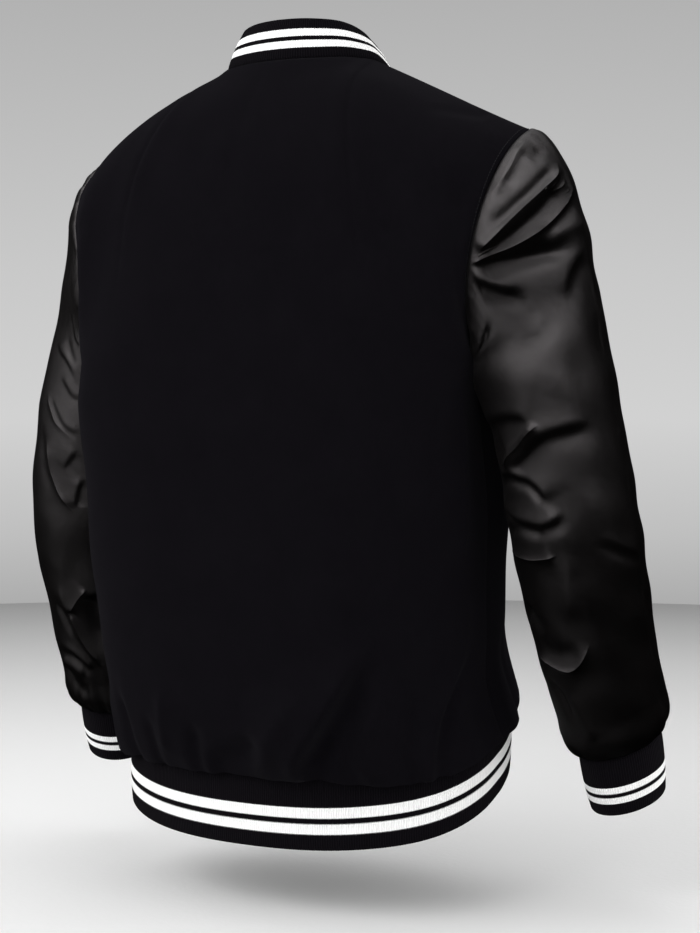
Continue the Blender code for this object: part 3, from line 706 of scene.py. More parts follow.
def side_distances(grid):
    """Distance of every point from each side of its grid, in metres."""
    up = np.cumsum(np.linalg.norm(np.diff(grid, axis=0, prepend=grid[:1]), axis=-1), axis=0)
    along = np.cumsum(np.linalg.norm(np.diff(grid, axis=1, prepend=grid[:, :1]), axis=-1), axis=1)
    return {"bottom": up, "top": up[-1] - up, "start": along, "end": along[:, -1:] - along}


def border_mask(piece):
    mask = np.zeros(piece.grid.shape[:2], bool)
    mask[[0, -1]] = True
    if not piece.closed:
        mask[:, [0, -1]] = True
    return mask


def share_seam_normals(pieces):
    """Gives the points of a seam one normal each, which halves the angle between the two cloths."""
    masks = [border_mask(piece) for piece in pieces]
    points = np.concatenate([piece.grid[mask] for piece, mask in zip(pieces, masks)])
    normals = np.concatenate([piece.normals[mask] for piece, mask in zip(pieces, masks)])
    cloths = np.concatenate([np.full(mask.sum(), piece.cloth) for piece, mask in zip(pieces, masks)])
    keys, group = np.unique(np.round(points, 6), axis=0, return_inverse=True)
    group = group.ravel()
    shared = np.zeros_like(keys)
    for cloth in np.unique(cloths):
        total = np.zeros_like(keys)
        np.add.at(total, group[cloths == cloth], normals[cloths == cloth])
        length = np.linalg.norm(total, axis=1, keepdims=True)
        shared += total / np.where(length > 0, length, 1.0)
    shared = unit(shared)[group]
    start = 0
    for piece, mask in zip(pieces, masks):
        count = mask.sum()
        piece.normals[mask] = shared[start:start + count]
        start += count


# ---------------- creases and gathers

# Shapes across a crease. d is the distance from its path in reaches, above 0 on the left.
SHARPNESS = 0.35
SLOW_SIDE = 1.8
STEEP_SIDE = 0.42
VALLEY_DEPTH, VALLEY_AT, VALLEY_WIDTH = 0.7, -1.0, 0.55
LAP_HALF = 0.5


def ridge(d):
    return np.exp(SHARPNESS - np.hypot(d, SHARPNESS))


def swell(d):
    return np.exp(-d * d)


def tuck(d):
    slope = np.where(d > 0, np.exp(-d / SLOW_SIDE), np.exp(-(d / STEEP_SIDE) ** 2))
    return slope - VALLEY_DEPTH * swell((d - VALLEY_AT) / VALLEY_WIDTH)


def lap(d):
    return LAP_HALF * np.tanh(d / SHARPNESS) * np.exp(-np.abs(d) / SLOW_SIDE)


PROFILES = {
    "ridge": ridge,
    "edge": ridge,
    "swell": swell,
    "trough": lambda d: -swell(d),
    "tuck": tuck,
    "lap": lap,
}

# Steps between two points of a crease, and how many times its reach it is felt
CREASE_STEPS = 8
CREASE_FELT = 6
# Creases have their full height at this distance from the seams
CREASE_CLEAR = 0.010
# The line along an edge fades out up to FOLD_LINE_FADE reaches from it. NO_FOLD_LINE is far from any.
FOLD_LINE_REACH = 0.0028
FOLD_LINE_FADE = 1.5
NO_FOLD_LINE = 0.05


def beside_path(around, up, path, reach):
    """Which points are near a path, their distance from it (above 0 to its left) and share along it."""
    low, high = path.min(axis=0) - reach, path.max(axis=0) + reach
    near = (around > low[0]) & (around < high[0]) & (up > low[1]) & (up < high[1])
    points = np.stack([around[near], up[near]], axis=-1)
    best = np.full(len(points), np.inf)
    signed, share = np.zeros(len(points)), np.zeros(len(points))
    steps = len(path) - 1
    for number in range(steps):
        run = path[number + 1] - path[number]
        offset = points - path[number]
        t = np.clip(offset @ run / (run @ run), 0.0, 1.0)
        distance = np.linalg.norm(offset - t[:, None] * run, axis=1)
        closer = distance < best
        side = np.sign(run[0] * offset[:, 1] - run[1] * offset[:, 0])
        best = np.where(closer, distance, best)
        signed = np.where(closer, distance * side, signed)
        share = np.where(closer, (number + t) / steps, share)
    return near, signed, share


def wave(run, length, spread, rng):
    """A wave of a random length and start along a run."""
    return np.sin(run * 2 * math.pi / (length * rng.uniform(*spread)) + rng.uniform(0, 2 * math.pi))


def uneven(along, length, seed):
    """Unevenness along one measure, between about -1 and 1, from five waves near a length."""
    rng = np.random.default_rng(seed)
    return sum(wave(along, length, (0.6, 1.7), rng) for _ in range(5)) / 3


def waves(around, up, length, seed):
    """Gentle unevenness over a surface, between about -1 and 1, from seven crossing waves."""
    rng = np.random.default_rng(seed)
    crossing = []
    for _ in range(7):
        direction = rng.uniform(0, math.pi)
        run = around * math.cos(direction) + up * math.sin(direction)
        crossing.append(wave(run, length, (0.7, 1.5), rng))
    return sum(crossing) / 4


# ---------------- pieces

class Piece:
    """One cut and sewn piece, as a grid of points on the garment's outside."""

    def __init__(self, name, grid, degrees, cloth, wall, closed=False, free=()):
        self.name, self.grid, self.cloth, self.wall = name, grid, cloth, wall
        self.closed, self.free = closed, free
        self.girth = GIRTH["sleeve" if closed else "body"]
        self.around = np.broadcast_to(degrees * self.girth / 360, grid.shape[:2])
        self.up = grid[..., 2]
        self.normals = grid_normals(grid, closed)
        self.sides = side_distances(grid)
        self.edges = ["bottom", "top"] if closed else list(self.sides)
        self.border = np.minimum.reduce([self.sides[side] for side in self.edges])
        self.heights = np.zeros(grid.shape[:2])
        self.falls = np.zeros(grid.shape[:2])
        self.fold = np.full(grid.shape[:2], NO_FOLD_LINE)
        self.fold_press = np.zeros(grid.shape[:2])

    def crease(self, creases):
        """Adds creases. On a tube each is also laid a whole turn further on both ways."""
        clear = smooth_step(self.border / CREASE_CLEAR)
        for kind, reach, rise, start, end, points in creases:
            for turn in (-360, 0, 360) if self.closed else (0,):
                path = (np.reshape(points, (-1, 2)) + (turn, 0)) * (self.girth / 360, 0.001)
                path = refine(path, CREASE_STEPS)
                near, away, share = beside_path(self.around, self.up, path, CREASE_FELT * reach / 1000)
                size = clear[near] * smooth_step(share / start) * smooth_step((1 - share) / end)
                self.heights[near] += rise / 1000 * size * PROFILES[kind](away / reach * 1000)
                if kind == "edge":
                    press = rise * size * smooth_step(FOLD_LINE_FADE - np.abs(away) / FOLD_LINE_REACH)
                    closer = np.abs(away) < np.abs(self.fold[near])
                    self.fold[near] = np.where(closer, away, self.fold[near])
                    self.fold_press[near] = np.where(closer, press, self.fold_press[near])

    def gather(self, side, puff_reach, puff_rise, reach, rise, spacing, seed):
        """Lets the cloth stand out beside a seam that holds it in, with short folds out from the seam."""
        away = self.sides[side]
        self.heights += puff_rise * bulge(away / puff_reach)
        self.heights += rise * bulge(away / reach) * uneven(self.around, spacing, seed)

    def droop(self, table):
        """Lets the body cloth blouse out and hang down over its bottom seam, more at some angles."""
        shape = bulge(self.sides["bottom"] / DROOP_REACH)
        fall = read_table(table, self.around[0] / self.girth * 360)[:, 0] / 1000
        self.falls += fall * shape
        self.heights += (DROOP_PUFF + fall * DROOP_OUT) * shape

    def undulate(self, rise, length, seed):
        clear = smooth_step(self.border / UNDULATION_CLEAR)
        self.heights += rise * waves(self.around, self.up, length, seed) * clear

    def dip(self):
        """Lets the cloth dip to its seams."""
        for side in self.edges:
            if side not in self.free:
                self.heights -= SEAM_DIP * (1 - np.clip(self.sides[side] / SEAM_DIP_REACH, 0, 1)) ** 2

    def outside(self):
        points = self.grid + self.normals * self.heights[..., None]
        points[..., 2] -= self.falls
        return points


def outward_edges(piece, points):
    """For each side of a piece: its rows and columns, and the directions out of it along the cloth."""
    whole = slice(None)
    places = {"bottom": (0, whole), "top": (-1, whole), "start": (whole, 0), "end": (whole, -1)}
    besides = {"bottom": (1, whole), "top": (-2, whole), "start": (whole, 1), "end": (whole, -2)}
    for side in piece.edges:
        place = places[side]
        edge = points[place]
        out = unit(np.cross(np.gradient(edge, axis=0), piece.normals[place]))
        out *= np.sign(np.sum(out * (edge - points[besides[side]]), axis=1))[:, None]
        yield side, place, out


def shell_mesh(piece):
    """A closed shell: outside, inside, and a rim, which is round on the edges that aren't sewn."""
    surface = piece.outside()
    outer, rounding = surface.copy(), np.zeros(surface.shape)
    for side, place, out in outward_edges(piece, surface):
        if side in piece.free:
            rounding[place] += out * piece.wall / 2
        else:
            outer[place] -= out * SEAM_GAP / 2
    inner = outer - piece.normals * piece.wall
    rows, columns = outer.shape[:2]
    index = np.arange(rows * columns).reshape(rows, columns)
    used = index.copy()
    if piece.closed:
        used[:, -1] = used[:, 0]
    borders = [index[0], index[-1, ::-1]]
    if not piece.closed:
        borders = [np.concatenate([index[0], index[1:, -1], index[-1, -2::-1], index[-2::-1, 0]])]
    skins = [outer, inner] + [
        outer - piece.normals * piece.wall / 2 * (1 - math.cos(turn)) + rounding * math.sin(turn)
        for turn in np.radians(RIM_TURNS)
    ]
    order = [0, *range(2, len(skins)), 1]
    count = rows * columns
    quads = [used[:-1, :-1], used[1:, :-1], used[1:, 1:], used[:-1, 1:]]
    marks = [index[:-1, :-1], index[1:, :-1], index[1:, 1:], index[:-1, 1:]]
    quads, marks = (np.stack(corners, axis=-1).reshape(-1, 4) for corners in (quads, marks))
    faces, places = [quads, quads[:, ::-1] + count], [marks, marks[:, ::-1]]
    for border in borders:
        run = used.ravel()[border]
        for above, below in zip(order, order[1:]):
            corners = [run[:-1] + above * count, run[1:] + above * count,
                       run[1:] + below * count, run[:-1] + below * count]
            faces.append(np.stack(corners, axis=-1))
            places.append(np.stack([border[:-1], border[1:], border[1:], border[:-1]], axis=-1))
    faces, places = np.concatenate(faces), np.concatenate(places)
    kept = np.unique(faces)
    renumber = np.zeros(len(skins) * count, int)
    renumber[kept] = np.arange(len(kept))
    points = np.concatenate([skin.reshape(-1, 3) for skin in skins])[kept]
    mesh = bpy.data.meshes.new(piece.name)
    mesh.from_pydata(points.tolist(), [], renumber[faces].tolist())
    across, along = piece.sides["start"].mean(axis=0), piece.sides["bottom"].mean(axis=1)
    measures = np.stack(np.meshgrid(across, along), axis=-1).reshape(-1, 2)
    mesh.uv_layers.new(name="cloth").data.foreach_set("uv", measures[places].ravel())
    total = piece.sides["bottom"] + piece.sides["top"]
    band_share = piece.sides["top" if "top" in piece.free else "bottom"] / total
    for name, values in (("seam", piece.border), ("band", band_share), ("fold", piece.fold),
                         ("fold_press", piece.fold_press)):
        values = np.tile(values.ravel(), len(skins))[kept]
        mesh.attributes.new(name, "FLOAT", "POINT").data.foreach_set("value", values.astype(np.float32))
    mesh.validate()
    mesh.shade_smooth()
    mesh.set_sharp_from_angle(angle=SHARP_ANGLE)
    return mesh


def show(name, mesh, material, slot, *nodes):
    """Adds a mesh to the scene as a finished piece that rides on the garment."""
    mesh.materials.clear()
    mesh.materials.append(material)
    piece = bpy.data.objects.new(name, mesh)
    bpy.context.scene.collection.objects.link(piece)
    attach(piece, "root")
    if nodes:
        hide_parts(*nodes)
    return piece


# ---------------- thread

STITCH_PITCH = 0.0032
STITCH_LENGTH = 0.0023
STITCH_RADIUS = 0.00030
STITCH_LIFT = 0.4
STITCH_SIDES = 6
STITCH_RINGS = [
    # place along the stitch, share of its radius
    (-0.5, 0.25),
    (-0.3, 0.9),
    (0.0, 1.1),
    (0.3, 0.9),
    (0.5, 0.25),
]
ARMHOLE_STITCH_IN = 0.0042
PLACKET_STITCH_IN = (0.004, 0.030)


def line_beside(piece, side, away, rows=slice(None)):
    """Points and normals along a side of a piece, a distance in from it."""
    points, normals = piece.outside(), piece.normals
    if side in ("bottom", "top"):
        points, normals = points.swapaxes(0, 1), normals.swapaxes(0, 1)
    if side in ("end", "top"):
        points, normals = points[:, ::-1], normals[:, ::-1]
    line, directions = [], []
    for run, turn in zip(points[rows], normals[rows]):
        lengths = run_lengths(run)
        line.append(read_run(away, lengths, run))
        directions.append(read_run(away, lengths, turn))
    return np.array(line), unit(np.array(directions))


def stitches_mesh(name, rows):
    """Rows of single stitches: short spindles of thread lying on the cloth."""
    sides, rings = STITCH_SIDES, len(STITCH_RINGS)
    turns = np.linspace(0, 2 * math.pi, sides, endpoint=False)
    shape = np.array([(along, radius * math.cos(turn), radius * math.sin(turn))
                      for along, radius in STITCH_RINGS for turn in turns])
    vertex = np.arange(len(shape)).reshape(rings, sides)
    after = np.roll(vertex, -1, axis=1)
    quads = np.stack([vertex[1:], after[1:], after[:-1], vertex[:-1]], axis=-1).reshape(-1, 4)
    faces = [*quads.tolist(), vertex[0].tolist(), vertex[-1, ::-1].tolist()]
    points, polygons = [], []
    for line, directions in rows:
        lengths = run_lengths(line)
        for middle in np.arange(STITCH_PITCH, lengths[-1] - STITCH_PITCH, STITCH_PITCH):
            first = read_run(middle - STITCH_LENGTH / 2, lengths, line)
            last = read_run(middle + STITCH_LENGTH / 2, lengths, line)
            up = unit(read_run(middle, lengths, directions))
            along = last - first
            across = unit(np.cross(up, along))
            up = unit(np.cross(along, across))
            centre = (first + last) / 2 + up * STITCH_RADIUS * STITCH_LIFT
            start = len(points) * len(shape)
            points.append(centre + shape[:, :1] * along + shape[:, 1:2] * across * STITCH_RADIUS
                          + shape[:, 2:] * up * STITCH_RADIUS)
            polygons.extend([start + corner for corner in face] for face in faces)
    mesh = bpy.data.meshes.new(name)
    mesh.from_pydata(np.concatenate(points).tolist(), [], polygons)
    bm = bmesh.new()
    bm.from_mesh(mesh)
    bmesh.ops.recalc_face_normals(bm, faces=bm.faces)
    bm.to_mesh(mesh)
    bm.free()
    mesh.shade_smooth()
    return mesh


# ---------------- snaps

def snap_cap():
    """One snap cap at the origin, its base down: a low dome with a rolled edge and a sunken ring."""
    bpy.ops.object.select_all(action="DESELECT")
    base = SNAP_HEIGHT * SNAP_BASE_SHARE
    bpy.ops.mesh.primitive_cylinder_add(vertices=SNAP_SIDES, radius=SNAP_RADIUS, depth=base,
                                        location=(0, 0, base / 2))
    cap = bpy.context.object
    bpy.ops.object.transform_apply(location=True, rotation=False, scale=False)
    bpy.ops.object.mode_set(mode="EDIT")
    bpy.ops.mesh.select_all(action="DESELECT")
    bpy.ops.mesh.select_mode(type="FACE")
    bm = bmesh.from_edit_mesh(cap.data)
    for face in bm.faces:
        face.select = face.normal.z > FACES_UP
    bmesh.update_edit_mesh(cap.data)
    for inwards, up in SNAP_STEPS:
        bpy.ops.mesh.inset(thickness=inwards * SNAP_RADIUS, depth=up * SNAP_HEIGHT)
    bpy.ops.mesh.poke()
    bpy.ops.object.mode_set(mode="OBJECT")
    bevel = cap.modifiers.new("edge", "BEVEL")
    bevel.width, bevel.segments, bevel.angle_limit = SNAP_ROUNDING, 3, SNAP_CORNER
    bpy.ops.object.modifier_apply(modifier=bevel.name)
    bpy.ops.object.shade_smooth_by_angle(angle=SNAP_SMOOTH)
    mesh = cap.data
    bpy.data.objects.remove(cap)
    return mesh


def add_snaps(front, hem_rib, material):
    """Caps down centre front, each flat on the cloth, and one on the hem band."""
    centre = -1 - DETAIL // 2
    line, directions = front.outside()[::-1, centre], front.normals[::-1, centre]
    lengths = run_lengths(line)
    places = []
    for number in range(FRONT_SNAPS):
        length = FIRST_SNAP + number * SNAP_SPACING
        places.append([read_run(length, lengths, values) for values in (line, directions)])
    middle = RIB_ROWS * DETAIL // 2
    places.append([hem_rib.outside()[middle, centre], hem_rib.normals[middle, centre]])
    cap = snap_cap()
    for number, (point, direction) in enumerate(places, start=1):
        mesh = cap.copy()
        turn = Vector(direction).to_track_quat("Z", "Y").to_matrix().to_4x4()
        turn.translation = Vector(point + unit(direction) * SNAP_GAP)
        mesh.transform(turn)
        show(f"cap_{number}", mesh, material, "snap_metal", f"snap_{number}")


# ---------------- materials

# Places of the share and the two colours among a mix node's inputs, and of the colour among its outputs
COLOUR_MIX = (0, 6, 7)
COLOUR_RESULT = 2


class Value:
    """A socket of a node tree, so that sums on it add the Math nodes they need."""

    def __init__(self, graph, socket):
        self.graph, self.socket = graph, socket

    def math(self, operation, *terms):
        return self.graph.node("Math", "Value", {"operation": operation}, dict(enumerate(terms)))

    def __add__(self, other):
        return self.math("ADD", self, other)

    def __radd__(self, other):
        return self.math("ADD", other, self)

    def __sub__(self, other):
        return self.math("SUBTRACT", self, other)

    def __rsub__(self, other):
        return self.math("SUBTRACT", other, self)

    def __mul__(self, other):
        return self.math("MULTIPLY", self, other)

    def sine(self):
        return self.math("SINE", self)

    def size(self):
        return self.math("ABSOLUTE", self)

    def exponential(self):
        return self.math("EXPONENT", self)

    def above(self, edge, softness):
        """0 below an edge and 1 above it, with a soft step between."""
        return self.graph.node("MapRange", "Result", {"interpolation_type": "SMOOTHSTEP"}, {
            "Value": self, "From Min": edge - softness / 2, "From Max": edge + softness / 2})


class Graph:
    """A material's nodes, made one call each."""

    def __init__(self, name, colour, roughness, metallic=0.0, **fixed):
        self.material = bpy.data.materials.new(name)
        self.material.use_nodes = True
        self.material.diffuse_color = (*colour, 1.0)
        self.tree = self.material.node_tree
        self.shader = self.tree.nodes["Principled BSDF"]
        self.set(self.shader, {"Base Color": (*colour, 1.0), "Roughness": roughness, "Metallic": metallic})
        self.set(self.shader, {key.replace("_", " "): value for key, value in fixed.items()})

    def set(self, node, values):
        for key, value in values.items():
            socket = node.inputs[key]
            if isinstance(value, Value):
                self.tree.links.new(value.socket, socket)
            else:
                socket.default_value = value

    def node(self, kind, output, settings=(), values=()):
        node = self.tree.nodes.new("ShaderNode" + kind)
        for key, value in dict(settings).items():
            setattr(node, key, value)
        self.set(node, dict(values))
        return Value(self, node.outputs[output])

    def attribute(self, name):
        return self.node("Attribute", "Fac", {"attribute_name": name})

    def cloth(self):
        """Places on the piece, and the metres across and along it."""
        place = self.node("UVMap", "UV", {"uv_map": "cloth"})
        parts = self.tree.nodes.new("ShaderNodeSeparateXYZ")
        self.set(parts, {"Vector": place})
        return place, Value(self, parts.outputs["X"]), Value(self, parts.outputs["Y"])

    def noise(self, scale, detail, place=None, stretch=(1, 1, 1), roughness=0.5):
        """Unevenness from 0 to 1. Scale is in waves per metre."""
        place = place or self.node("TexCoord", "Object")
        place = self.node("Mapping", "Vector", values={"Vector": place, "Scale": stretch})
        return self.node("TexNoise", "Fac", values={
            "Vector": place, "Scale": scale, "Detail": detail, "Roughness": roughness})

    def mix(self, share, first, second):
        """A colour between two. A colour is three numbers or a Value."""
        colours = [colour if isinstance(colour, Value) else (*colour, 1.0) for colour in (first, second)]
        values = dict(zip(COLOUR_MIX, (share, *colours)))
        return self.node("Mix", COLOUR_RESULT, {"data_type": "RGBA"}, values)

    def finish(self, colour, roughness, height, depth):
        """Links what varies over the surface. Height is from 0 to 1 and depth is in metres."""
        normal = self.node("Bump", "Normal", values={"Strength": 1.0, "Distance": depth, "Height": height})
        self.set(self.shader, {"Base Color": colour, "Roughness": roughness, "Normal": normal})
        return self.material


BLACK_WOOL = (0.0026, 0.0023, 0.0031)
BLACK_WOOL_NAP = (0.0056, 0.0050, 0.0064)
WOOL_SHEEN = (0.80, 0.78, 0.86, 1.0)
BLACK_SATIN = (0.0004, 0.0003, 0.0003)
BLACK_SATIN_WORN = (0.0011, 0.0009, 0.0008)
SATIN_SHEEN = (1.0, 0.93, 0.95, 1.0)
BLACK_KNIT = (0.0022, 0.0019, 0.0026)
# Black knit on its crests: lighter, as a painted highlight.
BLACK_KNIT_PAINTED_HIGHLIGHT = (0.0062, 0.0054, 0.0068)
WHITE_KNIT = (0.95, 0.95, 0.94)
# White knit in its hollows: darker, as painted shade.
WHITE_KNIT_PAINTED_SHADE = (0.80, 0.80, 0.80)
STRIPE_EDGE = 0.012
WALE_PITCH = 0.0021
COURSE_PITCH = 0.0013
THREAD_PITCH = 0.00055
BLACK_THREAD = (0.002, 0.002, 0.003)
# Black thread on its raised twist: lighter, as a painted highlight.
BLACK_THREAD_PAINTED_HIGHLIGHT = (0.008, 0.007, 0.009)
ENAMEL = (0.012, 0.012, 0.013)
ENAMEL_WORN = (0.060, 0.058, 0.055)
# Floor colours near and far from the middle: the step between them is painted light falloff.
FLOOR_NEAR_PAINTED_LIT = (0.74, 0.74, 0.74)
FLOOR_FAR_PAINTED_DIM = (0.22, 0.22, 0.22)
FOLD_LINE_WIDTH = 0.0014
FOLD_LINE_DEPTH = 0.40


def wool_material():
    """Melton wool: matte and close, with a short nap, a few lint specks and flattened seam edges."""
    graph = Graph("body_wool", BLACK_WOOL, 0.92, Sheen_Weight=0.012, Sheen_Roughness=0.5,
                  Sheen_Tint=WOOL_SHEEN, Specular_IOR_Level=0.0)
    fibres = graph.noise(1500.0, 3.0, roughness=0.7)
    nap = graph.noise(260.0, 4.0, stretch=(1.0, 1.0, 0.55), roughness=0.6)
    cloud = graph.noise(28.0, 3.0)
    lint = graph.noise(620.0, 1.0).above(0.765, 0.02)
    pressed = 1.0 - graph.attribute("seam").above(0.003, 0.004)
    share = nap * 0.45 + cloud * 0.35 + fibres * 0.35 - 0.28 + lint * 0.6
    colour = graph.mix(share, BLACK_WOOL, BLACK_WOOL_NAP)
    roughness = 0.96 - pressed * 0.12 - cloud * 0.06
    height = fibres * 0.5 + nap * 0.5 + lint * 0.4
    return graph.finish(colour, roughness, height, depth=0.00028)


def satin_material():
    """Coated satin: glossy, with a fine twill, small crush marks and duller worn patches."""
    graph = Graph("sleeve_cloth", BLACK_SATIN, 0.36, Specular_IOR_Level=0.5, Specular_Tint=SATIN_SHEEN)
    place, across, along = graph.cloth()
    twill = ((across + along) * (2 * math.pi / THREAD_PITCH)).sine() * 0.5 + 0.5
    yarn = graph.noise(1500.0, 2.0, place, stretch=(1.0, 0.25, 1.0))
    crush = graph.noise(75.0, 4.0, roughness=0.62)
    cloud = graph.noise(22.0, 3.0)
    wear = graph.noise(140.0, 3.0)
    share = cloud * 0.5 + wear * 0.3 + yarn * 0.25 - 0.15
    colour = graph.mix(share, BLACK_SATIN, BLACK_SATIN_WORN)
    roughness = 0.35 + cloud * 0.08 + wear * 0.05 + yarn * 0.04
    line = (graph.attribute("fold") * (1 / FOLD_LINE_WIDTH)).size() * -1.0
    fold = line.exponential() * graph.attribute("fold_press") * FOLD_LINE_DEPTH
    height = twill * 0.06 + yarn * 0.05 + crush * 0.45 + fold
    return graph.finish(colour, roughness, height, depth=0.0011)


def knit_material(part):
    """Rib knit: raised wales with their loops, and two white stripes whose edges step from loop to loop. Its
    colour has a painted highlight on the crests and painted shade in the hollows.
    """
    graph = Graph("rib_" + part, BLACK_KNIT, 0.90, Sheen_Weight=0.012, Sheen_Roughness=0.4,
                  Specular_IOR_Level=0.0)
    _, across, along = graph.cloth()
    share = graph.attribute("band")
    turn = across * (2 * math.pi / WALE_PITCH)
    wale = turn.sine() * 0.5 + 0.5
    loops = (along * (2 * math.pi / COURSE_PITCH) + (turn * 2.0).sine() * 0.9).sine() * 0.5 + 0.5
    fuzz = graph.noise(1700.0, 3.0, roughness=0.7)
    cloud = graph.noise(60.0, 3.0)
    stepped = share + (loops - 0.5) * 0.008 + (fuzz - 0.5) * 0.010
    white = 0.0
    for low, high in STRIPES[part]:
        white = stepped.above(low, STRIPE_EDGE) * (1.0 - stepped.above(high, STRIPE_EDGE)) + white
    # Painted highlight: the black knit is lighter on the crests of the wales and loops, with random fuzz
    # tone.
    black = graph.mix(wale * 0.55 + loops * 0.20 + fuzz * 0.25, BLACK_KNIT, BLACK_KNIT_PAINTED_HIGHLIGHT)
    # Painted shade: the white knit is darker in the hollows between the wales and loops, with random fuzz
    # tone.
    pale = graph.mix(wale * 0.70 + loops * 0.20 + fuzz * 0.20, WHITE_KNIT_PAINTED_SHADE, WHITE_KNIT)
    colour = graph.mix(white, black, pale)
    height = wale * 0.75 + loops * wale * 0.20 + fuzz * 0.12
    return graph.finish(colour, 0.95 - cloud * 0.10, height, depth=0.0007)


def thread_material():
    """Black sewing thread, with its twist and a painted highlight where the twist stands up."""
    graph = Graph("sewing_thread", (0.004, 0.004, 0.005), 0.75, Sheen_Weight=0.02, Specular_IOR_Level=0.10)
    twist = graph.noise(2600.0, 2.0, stretch=(1.0, 1.0, 3.0))
    # Painted highlight: the colour is lighter where the twist stands higher, as in the bump.
    colour = graph.mix(twist, BLACK_THREAD, BLACK_THREAD_PAINTED_HIGHLIGHT)
    return graph.finish(colour, 0.45 + twist * 0.2, twist, depth=0.0001)


def snap_material():
    """Black enamelled metal, with a little worn edge and fine scratches."""
    graph = Graph("snap_metal", ENAMEL, 0.28, metallic=0.4, Coat_Weight=0.35, Coat_Roughness=0.2)
    scratches = graph.noise(900.0, 3.0, stretch=(1.0, 1.0, 0.08))
    cloud = graph.noise(300.0, 2.0)
    colour = graph.mix(scratches.above(0.64, 0.05), ENAMEL, ENAMEL_WORN)
    return graph.finish(colour, 0.24 + cloud * 0.16, scratches, depth=0.00006)


def floor_material():
    """Smooth pale board with a very faint unevenness, and painted light falloff: its colour is darker
    further out from the middle.
    """
    graph = Graph("pale_floor", (0.70, 0.70, 0.70), 0.85, Specular_IOR_Level=0.1)
    cloud = graph.noise(1.3, 2.0)
    grain = graph.noise(160.0, 2.0)
    place = graph.node("TexCoord", "Object")
    reach = graph.node("VectorMath", "Value", {"operation": "LENGTH"}, {0: place})
    # Painted light falloff: the colour darkens with distance from the middle, standing in for the pool of
    # light on the floor.
    share = reach * 0.36 + cloud * 0.06 + grain * 0.02 - 0.16
    colour = graph.mix(share, FLOOR_NEAR_PAINTED_LIT, FLOOR_FAR_PAINTED_DIM)
    return graph.finish(colour, 0.8 + grain * 0.1, grain, depth=0.0002)


# ---------------- camera, floor and lights

VIEW_ANGLE = math.radians(210)
TOWARDS_CAMERA = Vector((math.sin(VIEW_ANGLE), -math.cos(VIEW_ANGLE), 0.0))
CAMERA_RIGHT = Vector((math.cos(VIEW_ANGLE), math.sin(VIEW_ANGLE), 0.0))
CAMERA_DISTANCE = 1.7
CAMERA_ASIDE = 0.036
CAMERA_Z = -0.305
CAMERA_LENS = 72.8
CAMERA_SHIFT = -0.0509
FLOOR_Z = -0.725
FLOOR_RADIUS = 2.70
MIDDLE = Vector((0.0, 0.0, -0.3))

# Brightness of the wall and ceiling
WALL = [
    # sine of the angle above the horizontal, brightness
    (-0.100, 0.400),
    (-0.060, 0.520),
    (0.000, 0.640),
    (0.080, 0.580),
    (0.220, 0.440),
    (0.400, 0.800),
    (0.700, 1.000),
    (1.000, 1.000),
]
# Softboxes, placed from the garment as the camera sees it: towards the camera, to the right, up
SOFTBOXES = [
    # name, towards, right, up, width, height, watts, lights matt cloth, shows in gloss
    ("key", 0.90, -1.56, 0.60, 2.6, 1.4, 38, True, False),
    ("gloss", 1.00, -1.50, 0.72, 3.4, 1.7, 22, False, True),
    ("gloss_edge", 0.60, -1.60, 1.00, 0.6, 1.4, 4, False, True),
    ("gloss_above", 1.10, -0.30, 1.60, 2.8, 1.6, 76, False, True),
    ("gloss_top", -0.30, 0.20, 1.70, 1.8, 1.4, 14, False, True),
    ("gloss_low", 0.90, -1.70, -0.55, 2.6, 1.2, 6, False, True),
    ("gloss_right", 1.30, 1.10, 1.10, 2.4, 1.4, 4, False, True),
    ("overhead", -0.20, -0.20, 1.70, 2.4, 2.4, 11, True, False),
    ("fill_right", 0.60, 1.90, 0.20, 2.2, 1.6, 20, True, False),
    ("fill_low", 2.80, 0.00, -0.20, 2.6, 0.9, 12, True, False),
]


def place_at(name, data, towards, right, up):
    """Adds a camera or light to the scene, placed from the garment as the camera sees it."""
    thing = bpy.data.objects.new(name, data)
    bpy.context.scene.collection.objects.link(thing)
    thing.location = TOWARDS_CAMERA * towards + CAMERA_RIGHT * right + Vector((0, 0, up))
    return thing


def add_camera():
    data = bpy.data.cameras.new("camera")
    data.lens, data.sensor_width, data.shift_y = CAMERA_LENS, 36.0, CAMERA_SHIFT
    data.clip_start, data.clip_end = 0.05, 50.0
    camera = place_at("camera", data, CAMERA_DISTANCE, CAMERA_ASIDE, CAMERA_Z)
    camera.rotation_euler = TOWARDS_CAMERA.to_track_quat("Z", "Y").to_euler()
    bpy.context.scene.camera = camera


def add_floor():
    bpy.ops.object.select_all(action="DESELECT")
    place = (0, 0, FLOOR_Z)
    bpy.ops.mesh.primitive_circle_add(vertices=96, radius=FLOOR_RADIUS, fill_type="NGON", location=place)
    floor = bpy.context.object
    floor.name = "floor"
    bpy.ops.object.transform_apply(location=True, rotation=False, scale=False)
    floor.data.materials.append(floor_material())
    floor.visible_glossy = False


def add_softboxes():
    for name, towards, right, up, width, height, watts, matt, gloss in SOFTBOXES:
        data = bpy.data.lights.new(name, "AREA")
        data.shape, data.size, data.size_y, data.energy = "RECTANGLE", width, height, watts
        light = place_at(name, data, towards, right, up)
        light.rotation_euler = (light.location - MIDDLE).to_track_quat("Z", "Y").to_euler()
        light.visible_diffuse, light.visible_glossy = matt, gloss
        data.use_shadow = matt


